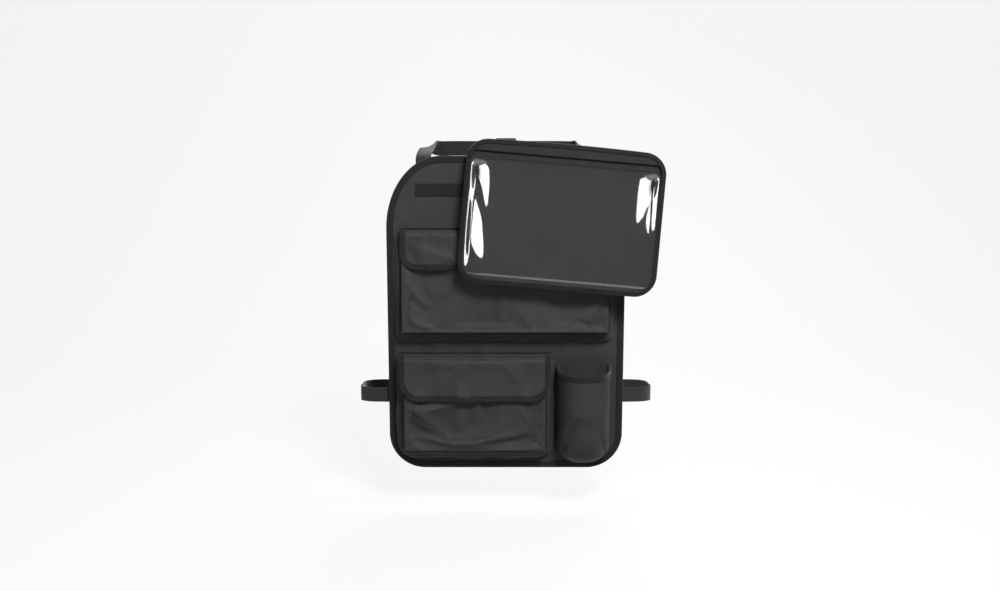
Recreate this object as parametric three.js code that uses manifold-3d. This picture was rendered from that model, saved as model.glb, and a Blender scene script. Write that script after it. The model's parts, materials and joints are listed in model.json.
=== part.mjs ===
// A hanging organizer of black polyester cloth for the inside of a car.
//
// A stiffened panel carries two box pockets under flaps, a bottle pocket and a strip of loop tape. A flat
// case with a clear window hangs on that strip. A strap of webbing joins the panel's shoulders behind it,
// and an elastic belt joins its sides. Each of the two closes in an adjuster.
//
// Sizes are in millimetres. Pieces are laid out with x to the right, y up from the panel's bottom edge and
// z out of the panel's back face towards the user. The exported group turns that to +Z up, with the middle
// of the panel's back face at the origin and the user on the -Y side.
//
// Cloth is made from flat patterns. A pattern point (x, y) and a height above the cloth go through a drape,
// a function that gives the place of that point on the finished organizer, so that what is sewn on a
// pattern follows its shape.

import * as THREE from 'three';
import Module from 'manifold-3d';
import { mergeVertices } from 'three/addons/utils/BufferGeometryUtils.js';

const wasm = await Module();
wasm.setup();

const { clamp, degToRad, lerp, smoothstep } = THREE.MathUtils;

// Cloth, tape and seams
const clothThickness = 1.4;
const seamGap = 0.3;
const bindingWall = 0.9;
const bindingWidth = 8;
const tapeThickness = 1.2;
const tapeHeight = 20.5;

// Panel
const panelWidth = 379;
const panelHeight = 508;
const panelThickness = 3.4;
const shoulderWidth = 88;
const shoulderHeight = 115;
const bottomCornerRadius = 58;
const panelBindingWidth = 11;
const panelTapeLength = 286;
const panelTapeDrop = 43;

// Pockets on the panel
const lowerSideMargin = 14;
const lowerPocketRise = 19;
const lowerFlapTop = 191.5;
const upperLeftMargin = 18;
const upperRightMargin = 21;
const pocketSpacing = 23;
const tapeToUpperFlap = 52;
const pocketCornerRadius = 9;
const mouthDrop = 9;
const flapInset = 4;
const flapRoll = 9;
const closureTapeLength = 110;
const crownPeak = 2 / 3;
const creaseEdgeFree = 2;
const creaseEdgeFade = 14;
const creaseFlapFade = 12;

const lowerPocketDepth = 34;
const lowerMouthDepth = 20;
const lowerSideTaper = 12;
const lowerBottomTaper = 19.5;
const lowerBaseRadius = 34;
const lowerCrown = 4;
const lowerFlapDrop = 72;
const lowerFlapCornerRadius = 32;

const upperPocketDepth = 25;
const upperMouthDepth = 10;
const upperSideTaper = 6;
const upperBottomTaper = 16;
const upperBaseRadius = 12;
const upperCrown = 3;
const upperFlapDrop = 62;
const upperFlapCornerRadius = 24;

// Bottle pocket
const bottlePocketWidth = 85;
const bottlePocketDepth = 64;
const bottlePocketTop = 174;
const bottlePocketRise = 13;
const bottleRimDip = 7;
const bottleSideMargin = 22;
const bottleToLowerPocket = 7;
const bottleBaseHeight = 62;
const bottleCornerRadius = 32;
const bottleFullness = 0.78;

// Case with a clear window
const caseWidth = 312;
const caseHeight = 225;
const caseDepth = 16;
const caseCornerRadius = 35;
const caseTopBow = 2;
const caseCentreX = 86;
const caseTopAbovePanel = 16.5;
const caseRollDegrees = 5;
const casePanelClearance = 3.4;
const caseFlapClearance = 2;
const caseWall = 1.2;
const caseBackThickness = 2.4;
const filmThickness = 0.8;
const topBandHeight = 17;
const mouthHemHeight = 20;
const hemBelowBand = 11.5;
const caseClosureLength = 200;
const caseClosureHeight = 7;
const filmRipple = 0.5;
const filmSlope = 70;
const filmSlackReach = 40;
const filmWaves = [{ x: 17, y: 31 }, { x: -41, y: 13 }];
const hangerTabWidth = 200;
const hangerTabInset = 15;
const hangerTabSeam = 12;

// Strap, elastic belt and their adjusters
const webbingWidth = 24;
const webbingThickness = 1.4;
const strapAttachX = 130;
const strapSeam = 40;
const strapLegLean = 9;
const strapRise = 8;
const strapEdgeBend = 1;
const strapLegBend = 9;
const headrestPostDiameter = 12;
const headrestPostDepth = 70;
const strapPostClearance = 8;
const elasticWidth = 24.5;
const elasticThickness = 1.6;
const elasticHeight = 121.5;
const elasticFarDrop = 14;
const elasticDip = 1;
const elasticSeam = 24;
const seatBackWidth = 478;
const seatBackThickness = 112;
const seatCornerRadius = 30;
const patchThickness = 0.9;
const patchMargin = 5;
const adjusterThickness = 3;
const adjusterBar = 3.6;
const adjusterSlot = 11.5;
const adjusterRail = 3.5;
const adjusterClearance = 1;
const adjusterCornerRadius = 3;
const sewnLoopLength = 30;
const strapTailLength = 46;
const sewnLoopEase = 1.5;

// How finely round stretches and draped cloth are cut into flat faces
const arcSteps = 5;
const rollSteps = 5;
const clothStep = 19;
const gussetStep = 38;
const gussetRows = 3;
const bottleColumns = 18;
const bandRowsPerPlace = 3;
const slotCornerSteps = 2;
const mergeDistance = 1e-4;

const materials = {
  cloth: { color: 0x2b2b2d, roughness: 0.85, metalness: 0 },
  binding: { color: 0x343436, roughness: 0.8, metalness: 0 },
  tape: { color: 0x1e1e20, roughness: 0.95, metalness: 0 },
  webbing: { color: 0x232325, roughness: 0.8, metalness: 0 },
  plastic: { color: 0x17171a, roughness: 0.45, metalness: 0 },
  film: { color: 0xdfe5ea, roughness: 0.08, metalness: 0, transparent: true, opacity: 0.3 },
};

// What follows from the sizes above
const panelFront = panelThickness;
const strapLayer = -(seamGap + patchThickness + seamGap);
const tapeBottom = panelHeight - panelTapeDrop - tapeHeight;
const closureStack = 3 * seamGap + 2 * tapeThickness + clothThickness;
const bottleRight = panelWidth / 2 - bottleSideMargin;
const bottleLeft = bottleRight - bottlePocketWidth;

const lowerPocket = {
  name: 'lower',
  left: -panelWidth / 2 + lowerSideMargin,
  right: bottleLeft - bottleToLowerPocket,
  bottom: lowerPocketRise,
  flapTop: lowerFlapTop,
  depth: lowerPocketDepth,
  mouthDepth: lowerMouthDepth,
  sideTaper: lowerSideTaper,
  bottomTaper: lowerBottomTaper,
  baseRadius: lowerBaseRadius,
  crown: lowerCrown,
  flapDrop: lowerFlapDrop,
  flapCornerRadius: lowerFlapCornerRadius,
};

const upperPocket = {
  name: 'upper',
  left: -panelWidth / 2 + upperLeftMargin,
  right: panelWidth / 2 - upperRightMargin,
  bottom: lowerFlapTop + pocketSpacing,
  flapTop: tapeBottom - tapeToUpperFlap,
  depth: upperPocketDepth,
  mouthDepth: upperMouthDepth,
  sideTaper: upperSideTaper,
  bottomTaper: upperBottomTaper,
  baseRadius: upperBaseRadius,
  crown: upperCrown,
  flapDrop: upperFlapDrop,
  flapCornerRadius: upperFlapCornerRadius,
};

// Creases as the worn cloth has them: from and to are measured from the pocket front's lower left corner,
// or from its lower right corner when side is 1. A rise below zero is a hollow.
const creases = {
  upper: [
    { side: 0, from: [3, 10], to: [17, 66], reach: 7, rise: -2.6 },
    { side: 0, from: [12, 14], to: [24, 52], reach: 7, rise: 1.6 },
    { side: 1, from: [-22, 12], to: [-70, 24], reach: 8, rise: -1.8 },
  ],
  lower: [
    { side: 0, from: [20, 16], to: [60, 30], reach: 9, rise: 1.6 },
    { side: 0, from: [8, 22], to: [16, 78], reach: 8, rise: -2 },
    { side: 1, from: [-12, 18], to: [-46, 64], reach: 9, rise: -2.2 },
  ],
};

// Creases of the bottle pocket: across it as bottleFace counts that, and up from its base.
const bottleCreases = [
  { from: [-0.62, 12], to: [-0.18, 62], reach: 0.13, rise: -5 },
  { from: [0.58, 10], to: [0.3, 56], reach: 0.12, rise: -4.5 },
];

// The strap's way from a shoulder to its level run, chosen by hand: how far inward in lengths of the leg's
// lean, how far above the run in lengths of its rise, how far back as a share of the whole way, and which
// way its width points.
const strapRoute = [
  { inward: 0.5, above: 0.25, back: 0.5, across: [1, 0, 0] },
  { inward: 1, above: 0.5, back: 0.8, across: [0.8, 0.6, 0] },
  { inward: 2.4, above: 0, back: 0.97, across: [0.1, 1, 0] },
  { inward: 5, above: 0, back: 1, across: [0, 1, 0] },
];

// How high a band stands where it turns round an adjuster's bar, as shares of its height beside the bar
const turnHeights = { outer: 0.9, near: 0.8, sewn: 0.7, inner: 0.6 };

// Solids

// The closed solid between an outer and an inner face given at the same columns and rows. Rows run to the
// left of columns as seen from the outer side.
function closedSheet(columns, rows, outerAt, innerAt) {
  const positions = [];
  for (const faceAt of [outerAt, innerAt]) {
    for (let row = 0; row <= rows; row += 1) {
      for (let column = 0; column <= columns; column += 1) {
        positions.push(...faceAt(column, row).toArray());
      }
    }
  }
  const stride = columns + 1;
  const inner = stride * (rows + 1);
  const index = [];
  const quad = (a, b, c, d) => index.push(a, b, c, a, c, d);
  for (let row = 0; row < rows; row += 1) {
    for (let column = 0; column < columns; column += 1) {
      const a = row * stride + column;
      const d = a + stride;
      quad(a, a + 1, d + 1, d);
      quad(inner + d, inner + d + 1, inner + a + 1, inner + a);
    }
  }
  const rim = [];
  for (let column = 0; column < columns; column += 1) rim.push(column);
  for (let row = 0; row < rows; row += 1) rim.push(row * stride + columns);
  for (let column = columns; column > 0; column -= 1) rim.push(rows * stride + column);
  for (let row = rows; row > 0; row -= 1) rim.push(row * stride);
  rim.forEach((from, place) => {
    const to = rim[(place + 1) % rim.length];
    quad(from, inner + from, inner + to, to);
  });
  const geometry = new THREE.BufferGeometry();
  geometry.setAttribute('position', new THREE.Float32BufferAttribute(positions, 3));
  geometry.setIndex(index);
  return geometry;
}

// A prism of a flat shape from z = from to z = to, ready to be cut or joined.
function prism(shape, from, to) {
  const geometry = new THREE.ExtrudeGeometry(shape, {
    depth: to - from, bevelEnabled: false, curveSegments: arcSteps,
  });
  geometry.translate(0, 0, from);
  geometry.deleteAttribute('normal');
  geometry.deleteAttribute('uv');
  const merged = mergeVertices(geometry, mergeDistance);
  return new wasm.Manifold(new wasm.Mesh({
    numProp: 3,
    vertProperties: new Float32Array(merged.attributes.position.array),
    triVerts: new Uint32Array(merged.index.array),
  }));
}

function geometryOf(solid) {
  const { vertProperties, triVerts } = solid.getMesh();
  const geometry = new THREE.BufferGeometry();
  geometry.setAttribute('position', new THREE.BufferAttribute(vertProperties, 3));
  geometry.setIndex(new THREE.BufferAttribute(triVerts, 1));
  return geometry;
}

// Edge tape folded round the rim of a flat sheet. outlineAt(inset) gives the sheet's outline taken in by
// inset from the tape's outer edge. The sheet lies between sheetBack and sheetFront.
function foldedRim(outlineAt, wall, width, sheetBack, sheetFront) {
  const inSlot = [sheetBack - seamGap, sheetFront + seamGap];
  return geometryOf(prism(outlineAt(0), inSlot[0] - wall, inSlot[1] + wall)
    .subtract(prism(outlineAt(wall), ...inSlot))
    .subtract(prism(outlineAt(width), inSlot[0] - 2 * wall, inSlot[1] + 2 * wall)));
}

const steps = (length, step) => Math.max(1, Math.round(length / step));

// Gives a drape its height: the surface point is moved along the surface's own normal.
function drape(surfaceAt) {
  const probe = 0.5;
  return (x, y, height = 0) => {
    const alongX = surfaceAt(x + probe, y).sub(surfaceAt(x - probe, y));
    const alongY = surfaceAt(x, y + probe).sub(surfaceAt(x, y - probe));
    return surfaceAt(x, y).addScaledVector(alongX.cross(alongY).normalize(), height);
  };
}

// How far a rounded corner takes a side in, at a height above the end of the corner.
function cornerInset(rise, radius) {
  if (rise >= radius) return 0;
  return radius - Math.sqrt(Math.max(0, radius ** 2 - (radius - rise) ** 2));
}

// Heights up the straight sides of a pattern, above its rounded lower corners. A pattern may roll over
// near its top, and then has closer rows there.
function sideHeights({ bottom, top, radius, roll = 0 }) {
  const heights = [];
  const even = steps(top - roll - bottom - radius, clothStep);
  for (let step = 0; step < even; step += 1) {
    heights.push(lerp(bottom + radius, top - roll, step / even));
  }
  for (let step = 0; roll > 0 && step < rollSteps; step += 1) {
    heights.push(lerp(top - roll, top, step / rollSteps));
  }
  return [...heights, top];
}

// Heights for all rows of a pattern: a few up its rounded lower corners, then those up its sides.
function rowHeights(pattern) {
  const corner = [];
  for (let step = 0; step < arcSteps; step += 1) {
    corner.push(pattern.bottom + pattern.radius * (1 - Math.cos((step / arcSteps) * Math.PI / 2)));
  }
  return [...corner, ...sideHeights(pattern)];
}

// Cloth cut to a pattern with rounded lower corners and laid on a drape, its outer face at height 0. Its
// upper corners follow a round that ends at cap, if the pattern has one.
function cutCloth(drapeAt, pattern, thickness = clothThickness) {
  const { left, right, bottom, radius, cap = Infinity } = pattern;
  const heights = rowHeights(pattern);
  const columns = steps(right - left, clothStep);
  const faceAt = (height) => (column, row) => {
    const y = heights[row];
    const inset = Math.max(cornerInset(y - bottom, radius), cornerInset(cap - y, radius));
    return drapeAt(lerp(left + inset, right - inset, column / columns), y, height);
  };
  return closedSheet(columns, heights.length - 1, faceAt(0), faceAt(-thickness));
}

// A strip of tape on a drape, between two heights above it.
function tapeOn(drapeAt, { left, right, bottom, top }, from, to) {
  const columns = steps(right - left, clothStep);
  const rows = steps(top - bottom, clothStep);
  const faceAt = (height) => (column, row) => drapeAt(
    lerp(left, right, column / columns), lerp(bottom, top, row / rows), height);
  return closedSheet(columns, rows, faceAt(to), faceAt(from));
}

// Stations down the left side of a pattern, round its lower corners and up its right side, each with the
// direction that points into the pattern.
function troughStations({ left, right, bottom, radius }, heights, floorSteps) {
  const stations = [];
  const add = (x, y, inX, inY) => stations.push({ x, y, inX, inY });
  for (const y of heights.slice(1).reverse()) add(left, y, 1, 0);
  for (let step = 0; step < arcSteps; step += 1) {
    const turn = (step / arcSteps) * Math.PI / 2;
    const inward = [Math.cos(turn), Math.sin(turn)];
    add(left + radius * (1 - inward[0]), bottom + radius * (1 - inward[1]), ...inward);
  }
  for (let step = 0; step < floorSteps; step += 1) {
    add(lerp(left + radius, right - radius, step / floorSteps), bottom, 0, 1);
  }
  for (let step = 0; step < arcSteps; step += 1) {
    const turn = (step / arcSteps) * Math.PI / 2;
    const inward = [-Math.sin(turn), Math.cos(turn)];
    add(right - radius * (1 + inward[0]), bottom + radius * (1 - inward[1]), ...inward);
  }
  for (const y of heights) add(right, y, -1, 0);
  return stations;
}

// Edge tape folded over the edge of draped cloth along stations, from the back face round to the front.
function foldedBinding(drapeAt, stations, thickness = clothThickness) {
  const fold = [
    { inset: bindingWidth, outer: -thickness - seamGap - bindingWall, inner: -thickness - seamGap },
    { inset: 0, outer: -thickness - seamGap - bindingWall, inner: -thickness - seamGap },
    { inset: 0, outer: seamGap + bindingWall, inner: seamGap },
    { inset: bindingWidth, outer: seamGap + bindingWall, inner: seamGap },
  ];
  const faceAt = (side, overhang) => (column, row) => {
    const { x, y, inX, inY } = stations[column];
    const inset = fold[row].inset === 0 ? -overhang : fold[row].inset;
    return drapeAt(x + inX * inset, y + inY * inset, fold[row][side]);
  };
  return closedSheet(stations.length - 1, fold.length - 1,
    faceAt('outer', seamGap + bindingWall), faceAt('inner', seamGap));
}

// A flat band along a smooth path. places lists points with the direction of the band's width.
function band(places, width, thickness) {
  const path = new THREE.CatmullRomCurve3(places.map(({ at }) => at), false, 'centripetal');
  const across = new THREE.CatmullRomCurve3(places.map(({ across: way }) => way), false, 'centripetal');
  const rows = places.length * bandRowsPerPlace;
  const frames = [];
  for (let row = 0; row <= rows; row += 1) {
    const along = row / rows;
    const tangent = path.getTangent(along);
    const widthWay = across.getPoint(along);
    widthWay.addScaledVector(tangent, -widthWay.dot(tangent)).normalize();
    frames.push({ at: path.getPoint(along), widthWay, normal: widthWay.clone().cross(tangent) });
  }
  const faceAt = (height) => (column, row) => frames[row].at.clone()
    .addScaledVector(frames[row].widthWay, (column - 0.5) * width)
    .addScaledVector(frames[row].normal, height);
  return closedSheet(1, rows, faceAt(thickness / 2), faceAt(-thickness / 2));
}

// Outlines

function panelOutline(inset) {
  const half = panelWidth / 2 - inset;
  const top = panelHeight - inset;
  const corner = Math.max(1, bottomCornerRadius - inset);
  const shoulder = { x: shoulderWidth - inset, y: shoulderHeight - inset };
  return new THREE.Shape()
    .moveTo(-half + corner, inset)
    .lineTo(half - corner, inset)
    .absarc(half - corner, inset + corner, corner, -Math.PI / 2, 0)
    .lineTo(half, top - shoulder.y)
    .absellipse(half - shoulder.x, top - shoulder.y, shoulder.x, shoulder.y, 0, Math.PI / 2)
    .lineTo(-half + shoulder.x, top)
    .absellipse(-half + shoulder.x, top - shoulder.y, shoulder.x, shoulder.y, Math.PI / 2, Math.PI)
    .lineTo(-half, inset + corner)
    .absarc(-half + corner, inset + corner, corner, Math.PI, 1.5 * Math.PI);
}

// How high the panel's outline, taken in by inset, is at a distance x from its middle.
function shoulderTop(x, inset) {
  const wide = shoulderWidth - inset;
  const high = shoulderHeight - inset;
  const along = clamp((x - panelWidth / 2 + shoulderWidth) / wide, 0, 1);
  return panelHeight - shoulderHeight + high * Math.sqrt(1 - along ** 2);
}

// The case's outline about its own centre, with a top edge that bows up a little.
function caseOutline(inset) {
  const x = caseWidth / 2 - inset;
  const y = caseHeight / 2 - inset;
  const corner = Math.max(1, caseCornerRadius - inset);
  return new THREE.Shape()
    .moveTo(-x + corner, -y)
    .lineTo(x - corner, -y)
    .absarc(x - corner, -y + corner, corner, -Math.PI / 2, 0)
    .lineTo(x, y - corner)
    .absarc(x - corner, y - corner, corner, 0, Math.PI / 2)
    .quadraticCurveTo(0, y + 2 * caseTopBow, -x + corner, y)
    .absarc(-x + corner, y - corner, corner, Math.PI / 2, Math.PI)
    .lineTo(-x, -y + corner)
    .absarc(-x + corner, -y + corner, corner, Math.PI, 1.5 * Math.PI);
}

function roundedRectangle(width, height, radius) {
  const x = width / 2;
  const y = height / 2;
  return new THREE.Shape()
    .moveTo(-x + radius, -y)
    .lineTo(x - radius, -y)
    .absarc(x - radius, -y + radius, radius, -Math.PI / 2, 0)
    .lineTo(x, y - radius)
    .absarc(x - radius, y - radius, radius, 0, Math.PI / 2)
    .lineTo(-x + radius, y)
    .absarc(-x + radius, y - radius, radius, Math.PI / 2, Math.PI)
    .lineTo(-x, -y + radius)
    .absarc(-x + radius, -y + radius, radius, Math.PI, 1.5 * Math.PI);
}

// Building the scene graph

const organizer = new THREE.Group();
organizer.name = 'seat_back_organizer';
organizer.rotation.x = Math.PI / 2;
const layout = new THREE.Group();
layout.position.y = -panelHeight / 2;
organizer.add(layout);

function addPiece(name, finish, geometry, parent = layout) {
  const piece = new THREE.Mesh(geometry, new THREE.MeshStandardMaterial(materials[finish]));
  piece.name = name;
  parent.add(piece);
  return piece;
}

// The panel, its edge tape and the strip of loop tape near its top.
function addPanel() {
  const sheetInset = bindingWall + seamGap;
  addPiece('back_panel', 'cloth', geometryOf(prism(panelOutline(sheetInset), 0, panelThickness)));
  addPiece('panel_binding', 'binding',
    foldedRim(panelOutline, bindingWall, panelBindingWidth, 0, panelThickness));
  const flat = drape((x, y) => new THREE.Vector3(x, y, panelFront));
  const strip = {
    left: -panelTapeLength / 2, right: panelTapeLength / 2, bottom: tapeBottom, top: tapeBottom + tapeHeight,
  };
  addPiece('panel_loop_tape', 'tape', tapeOn(flat, strip, seamGap, seamGap + tapeThickness));
}

// The pattern of a pocket's front, from its lower edge to its mouth.
function frontPattern(pocket) {
  return {
    left: pocket.left + pocket.sideTaper,
    right: pocket.right - pocket.sideTaper,
    bottom: pocket.bottom + pocket.bottomTaper,
    top: pocket.flapTop - mouthDrop,
    radius: pocketCornerRadius,
  };
}

// How far a crease lifts the cloth at (x, y). It fades towards its ends.
function creaseRise(crease, x, y, originX, originY) {
  const start = [originX + crease.from[0], originY + crease.from[1]];
  const run = [crease.to[0] - crease.from[0], crease.to[1] - crease.from[1]];
  const length = Math.hypot(...run);
  const along = ((x - start[0]) * run[0] + (y - start[1]) * run[1]) / length ** 2;
  const off = ((x - start[0]) * run[1] - (y - start[1]) * run[0]) / length;
  const fade = Math.sin(clamp(along, 0, 1) * Math.PI);
  return crease.rise * fade * Math.exp(-((off / crease.reach) ** 2));
}

// How far the outer face of a pocket's front stands from the panel's back face.
function pocketFaceAt(pocket, x, y) {
  const pattern = frontPattern(pocket);
  const up = clamp((y - pattern.bottom) / (pattern.top - pattern.bottom), 0, 1);
  const halfWidth = (pattern.right - pattern.left) / 2;
  const off = clamp((x - pattern.left) / halfWidth - 1, -1, 1);
  const crown = pocket.crown * (1 - off ** 2) ** 2 * Math.sin((up / crownPeak) * Math.PI / 2);
  const fromEdge = Math.min(x - pattern.left, pattern.right - x, y - pattern.bottom);
  const free = smoothstep(fromEdge, creaseEdgeFree, creaseEdgeFade)
    * smoothstep(pocket.flapTop - pocket.flapDrop - y, 0, creaseFlapFade);
  let lift = 0;
  for (const crease of creases[pocket.name]) {
    lift += creaseRise(crease, x, y, crease.side ? pattern.right : pattern.left, pattern.bottom);
  }
  return panelFront + lerp(pocket.depth, pocket.mouthDepth, up) + crown + free * lift;
}

// How much cloth a flap's roll takes: near enough a quarter of an ellipse.
function rollLength(pocket) {
  return Math.PI / 4 * (flapRoll + pocket.mouthDepth + closureStack);
}

// A flap's drape. Its pattern's y is 0 at the sewn edge and goes below zero down the flap. The cloth leaves
// the panel, rolls over and hangs in front of the pocket.
function flapDrape(pocket) {
  const rollEnd = pocket.flapTop - flapRoll;
  const roll = rollLength(pocket);
  return drape((x, y) => {
    const reach = pocketFaceAt(pocket, x, rollEnd) + closureStack;
    const root = panelFront + seamGap;
    if (-y <= roll) {
      const turn = (-y / roll) * Math.PI / 2;
      return new THREE.Vector3(x, rollEnd + flapRoll * Math.cos(turn), lerp(root, reach, Math.sin(turn)));
    }
    const height = rollEnd + y + roll;
    return new THREE.Vector3(x, height, pocketFaceAt(pocket, x, height) + closureStack);
  });
}

// A box pocket: front, side strip and bound mouth, under a bound flap that closes with hook and loop tape.
function addBoxPocket(pocket) {
  const { name } = pocket;
  const front = frontPattern(pocket);
  const onFront = drape((x, y) => new THREE.Vector3(x, y, pocketFaceAt(pocket, x, y)));
  addPiece(`${name}_pocket_front`, 'cloth', cutCloth(onFront, front));

  const base = {
    ...front, left: pocket.left, right: pocket.right, bottom: pocket.bottom, radius: pocket.baseRadius,
  };
  const sideSteps = steps(base.top - base.bottom, gussetStep);
  const floorSteps = steps(base.right - base.left, gussetStep);
  const sideOf = ({ bottom, top, radius }) => Array.from({ length: sideSteps + 1 },
    (_, step) => lerp(bottom + radius, top, step / sideSteps));
  const shrink = (pattern, by) => ({
    left: pattern.left + by,
    right: pattern.right - by,
    bottom: pattern.bottom + by,
    top: pattern.top,
    radius: pattern.radius - by,
  });
  const wallFace = (inset) => {
    const low = troughStations(shrink(base, inset), sideOf(base), floorSteps);
    const high = troughStations(shrink(front, inset), sideOf(front), floorSteps);
    return (column, row) => {
      const out = row / gussetRows;
      const frontEdge = pocketFaceAt(pocket, high[column].x, high[column].y) - clothThickness - seamGap;
      return new THREE.Vector3(
        lerp(low[column].x, high[column].x, out),
        lerp(low[column].y, high[column].y, out),
        lerp(panelFront + seamGap, frontEdge, out),
      );
    };
  };
  addPiece(`${name}_pocket_gusset`, 'cloth', closedSheet(
    2 * sideSteps + 2 * arcSteps + floorSteps, gussetRows, wallFace(0), wallFace(clothThickness)));

  const mouthEnd = clothThickness + 2 * seamGap;
  const mouthColumns = steps(front.right - front.left, clothStep);
  const mouth = [];
  for (let column = 0; column <= mouthColumns; column += 1) {
    const x = lerp(front.right - mouthEnd, front.left + mouthEnd, column / mouthColumns);
    mouth.push({ x, y: front.top, inX: 0, inY: -1 });
  }
  addPiece(`${name}_pocket_mouth_binding`, 'binding', foldedBinding(onFront, mouth));

  const onFlap = flapDrape(pocket);
  const roll = rollLength(pocket);
  const edge = seamGap + bindingWall;
  const flap = {
    left: pocket.left + flapInset + edge, right: pocket.right - flapInset - edge, top: 0, roll,
    bottom: flapRoll - pocket.flapDrop - roll + edge, radius: pocket.flapCornerRadius,
  };
  addPiece(`${name}_pocket_flap`, 'cloth', cutCloth(onFlap, flap));
  const heights = sideHeights(flap).slice(0, -1);
  const flapStations = troughStations(flap, heights, steps(flap.right - flap.left, clothStep));
  addPiece(`${name}_flap_binding`, 'binding', foldedBinding(onFlap, flapStations));

  const middle = (pocket.left + pocket.right) / 2;
  const closure = { left: middle - closureTapeLength / 2, right: middle + closureTapeLength / 2 };
  const closureBottom = pocket.flapTop - pocket.flapDrop + bindingWidth + 2 * edge;
  addPiece(`${name}_pocket_loop_tape`, 'tape', tapeOn(onFront,
    { ...closure, bottom: closureBottom, top: closureBottom + tapeHeight },
    seamGap, seamGap + tapeThickness));
  const hookBottom = flap.bottom + bindingWidth + edge;
  addPiece(`${name}_flap_hook_tape`, 'tape', tapeOn(onFlap,
    { ...closure, bottom: hookBottom, top: hookBottom + tapeHeight },
    -clothThickness - seamGap - tapeThickness, -clothThickness - seamGap));
}

// The bottle pocket: one sheet that bulges out of the panel between two sewn sides, over a rounded base.
// Across runs from -1 at the left seam to 1 at the right one.
function bottleFace(across, y, height) {
  const turn = (1 - across) * Math.PI / 2;
  const base = bottlePocketRise;
  const rise = clamp((y - base + Math.min(0, height)) / bottleBaseHeight, 0, 1);
  const halfWidth = bottlePocketWidth / 2 - cornerInset(y - base, bottleCornerRadius) + height;
  const flat = 2 * clothThickness;
  let bulge = lerp(flat, bottlePocketDepth, Math.sqrt(1 - (1 - rise) ** 2));
  for (const crease of bottleCreases) bulge += creaseRise(crease, across, y, 0, base);
  const side = Math.sign(Math.cos(turn)) * Math.abs(Math.cos(turn)) ** bottleFullness;
  const out = Math.max(0, Math.sin(turn)) ** bottleFullness;
  return new THREE.Vector3(
    bottleLeft + bottlePocketWidth / 2 + halfWidth * side,
    y,
    panelFront + seamGap + (bulge + height) * out,
  );
}

function addBottlePocket() {
  const columns = bottleColumns;
  const acrossAt = (column) => (2 * column) / columns - 1;
  const rimAt = (across) => bottlePocketTop - bottleRimDip * Math.cos(across * Math.PI / 2);
  const heights = rowHeights({
    bottom: bottlePocketRise, top: bottlePocketTop, radius: bottleCornerRadius,
  });
  const wallFace = (height) => (column, row) => {
    const across = acrossAt(column);
    const up = (heights[row] - bottlePocketRise) / (bottlePocketTop - bottlePocketRise);
    return bottleFace(across, lerp(bottlePocketRise, rimAt(across), up), height);
  };
  addPiece('bottle_pocket', 'cloth',
    closedSheet(columns, heights.length - 1, wallFace(0), wallFace(-clothThickness)));

  const layer = seamGap + bindingWall;
  const fold = [
    { drop: bindingWidth, outer: -clothThickness - layer, inner: -clothThickness - seamGap },
    { drop: -seamGap, outer: -clothThickness - layer, inner: -clothThickness - seamGap },
    { drop: -seamGap, outer: layer, inner: seamGap },
    { drop: bindingWidth, outer: layer, inner: seamGap },
  ];
  const foldFace = (side, overhang) => (column, row) => {
    const across = -acrossAt(column);
    const drop = fold[row].drop < 0 ? fold[row].drop - overhang : fold[row].drop;
    return bottleFace(across, rimAt(across) - drop, fold[row][side]);
  };
  addPiece('bottle_pocket_mouth_binding', 'binding',
    closedSheet(columns, fold.length - 1, foldFace('outer', bindingWall), foldFace('inner', 0)));
}

// The case leans forward so that it clears the panel's top edge and the upper pocket's flap.
function caseLean() {
  const flapEdge = upperPocket.flapTop - upperPocket.flapDrop;
  const middle = (upperPocket.left + upperPocket.right) / 2;
  const overFlap = pocketFaceAt(upperPocket, middle, flapEdge) + closureStack + seamGap + bindingWall;
  const overPanel = panelFront + seamGap + bindingWall + casePanelClearance;
  return {
    overPanel,
    angle: Math.atan2(overFlap + caseFlapClearance - overPanel, panelHeight - flapEdge),
  };
}

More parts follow.
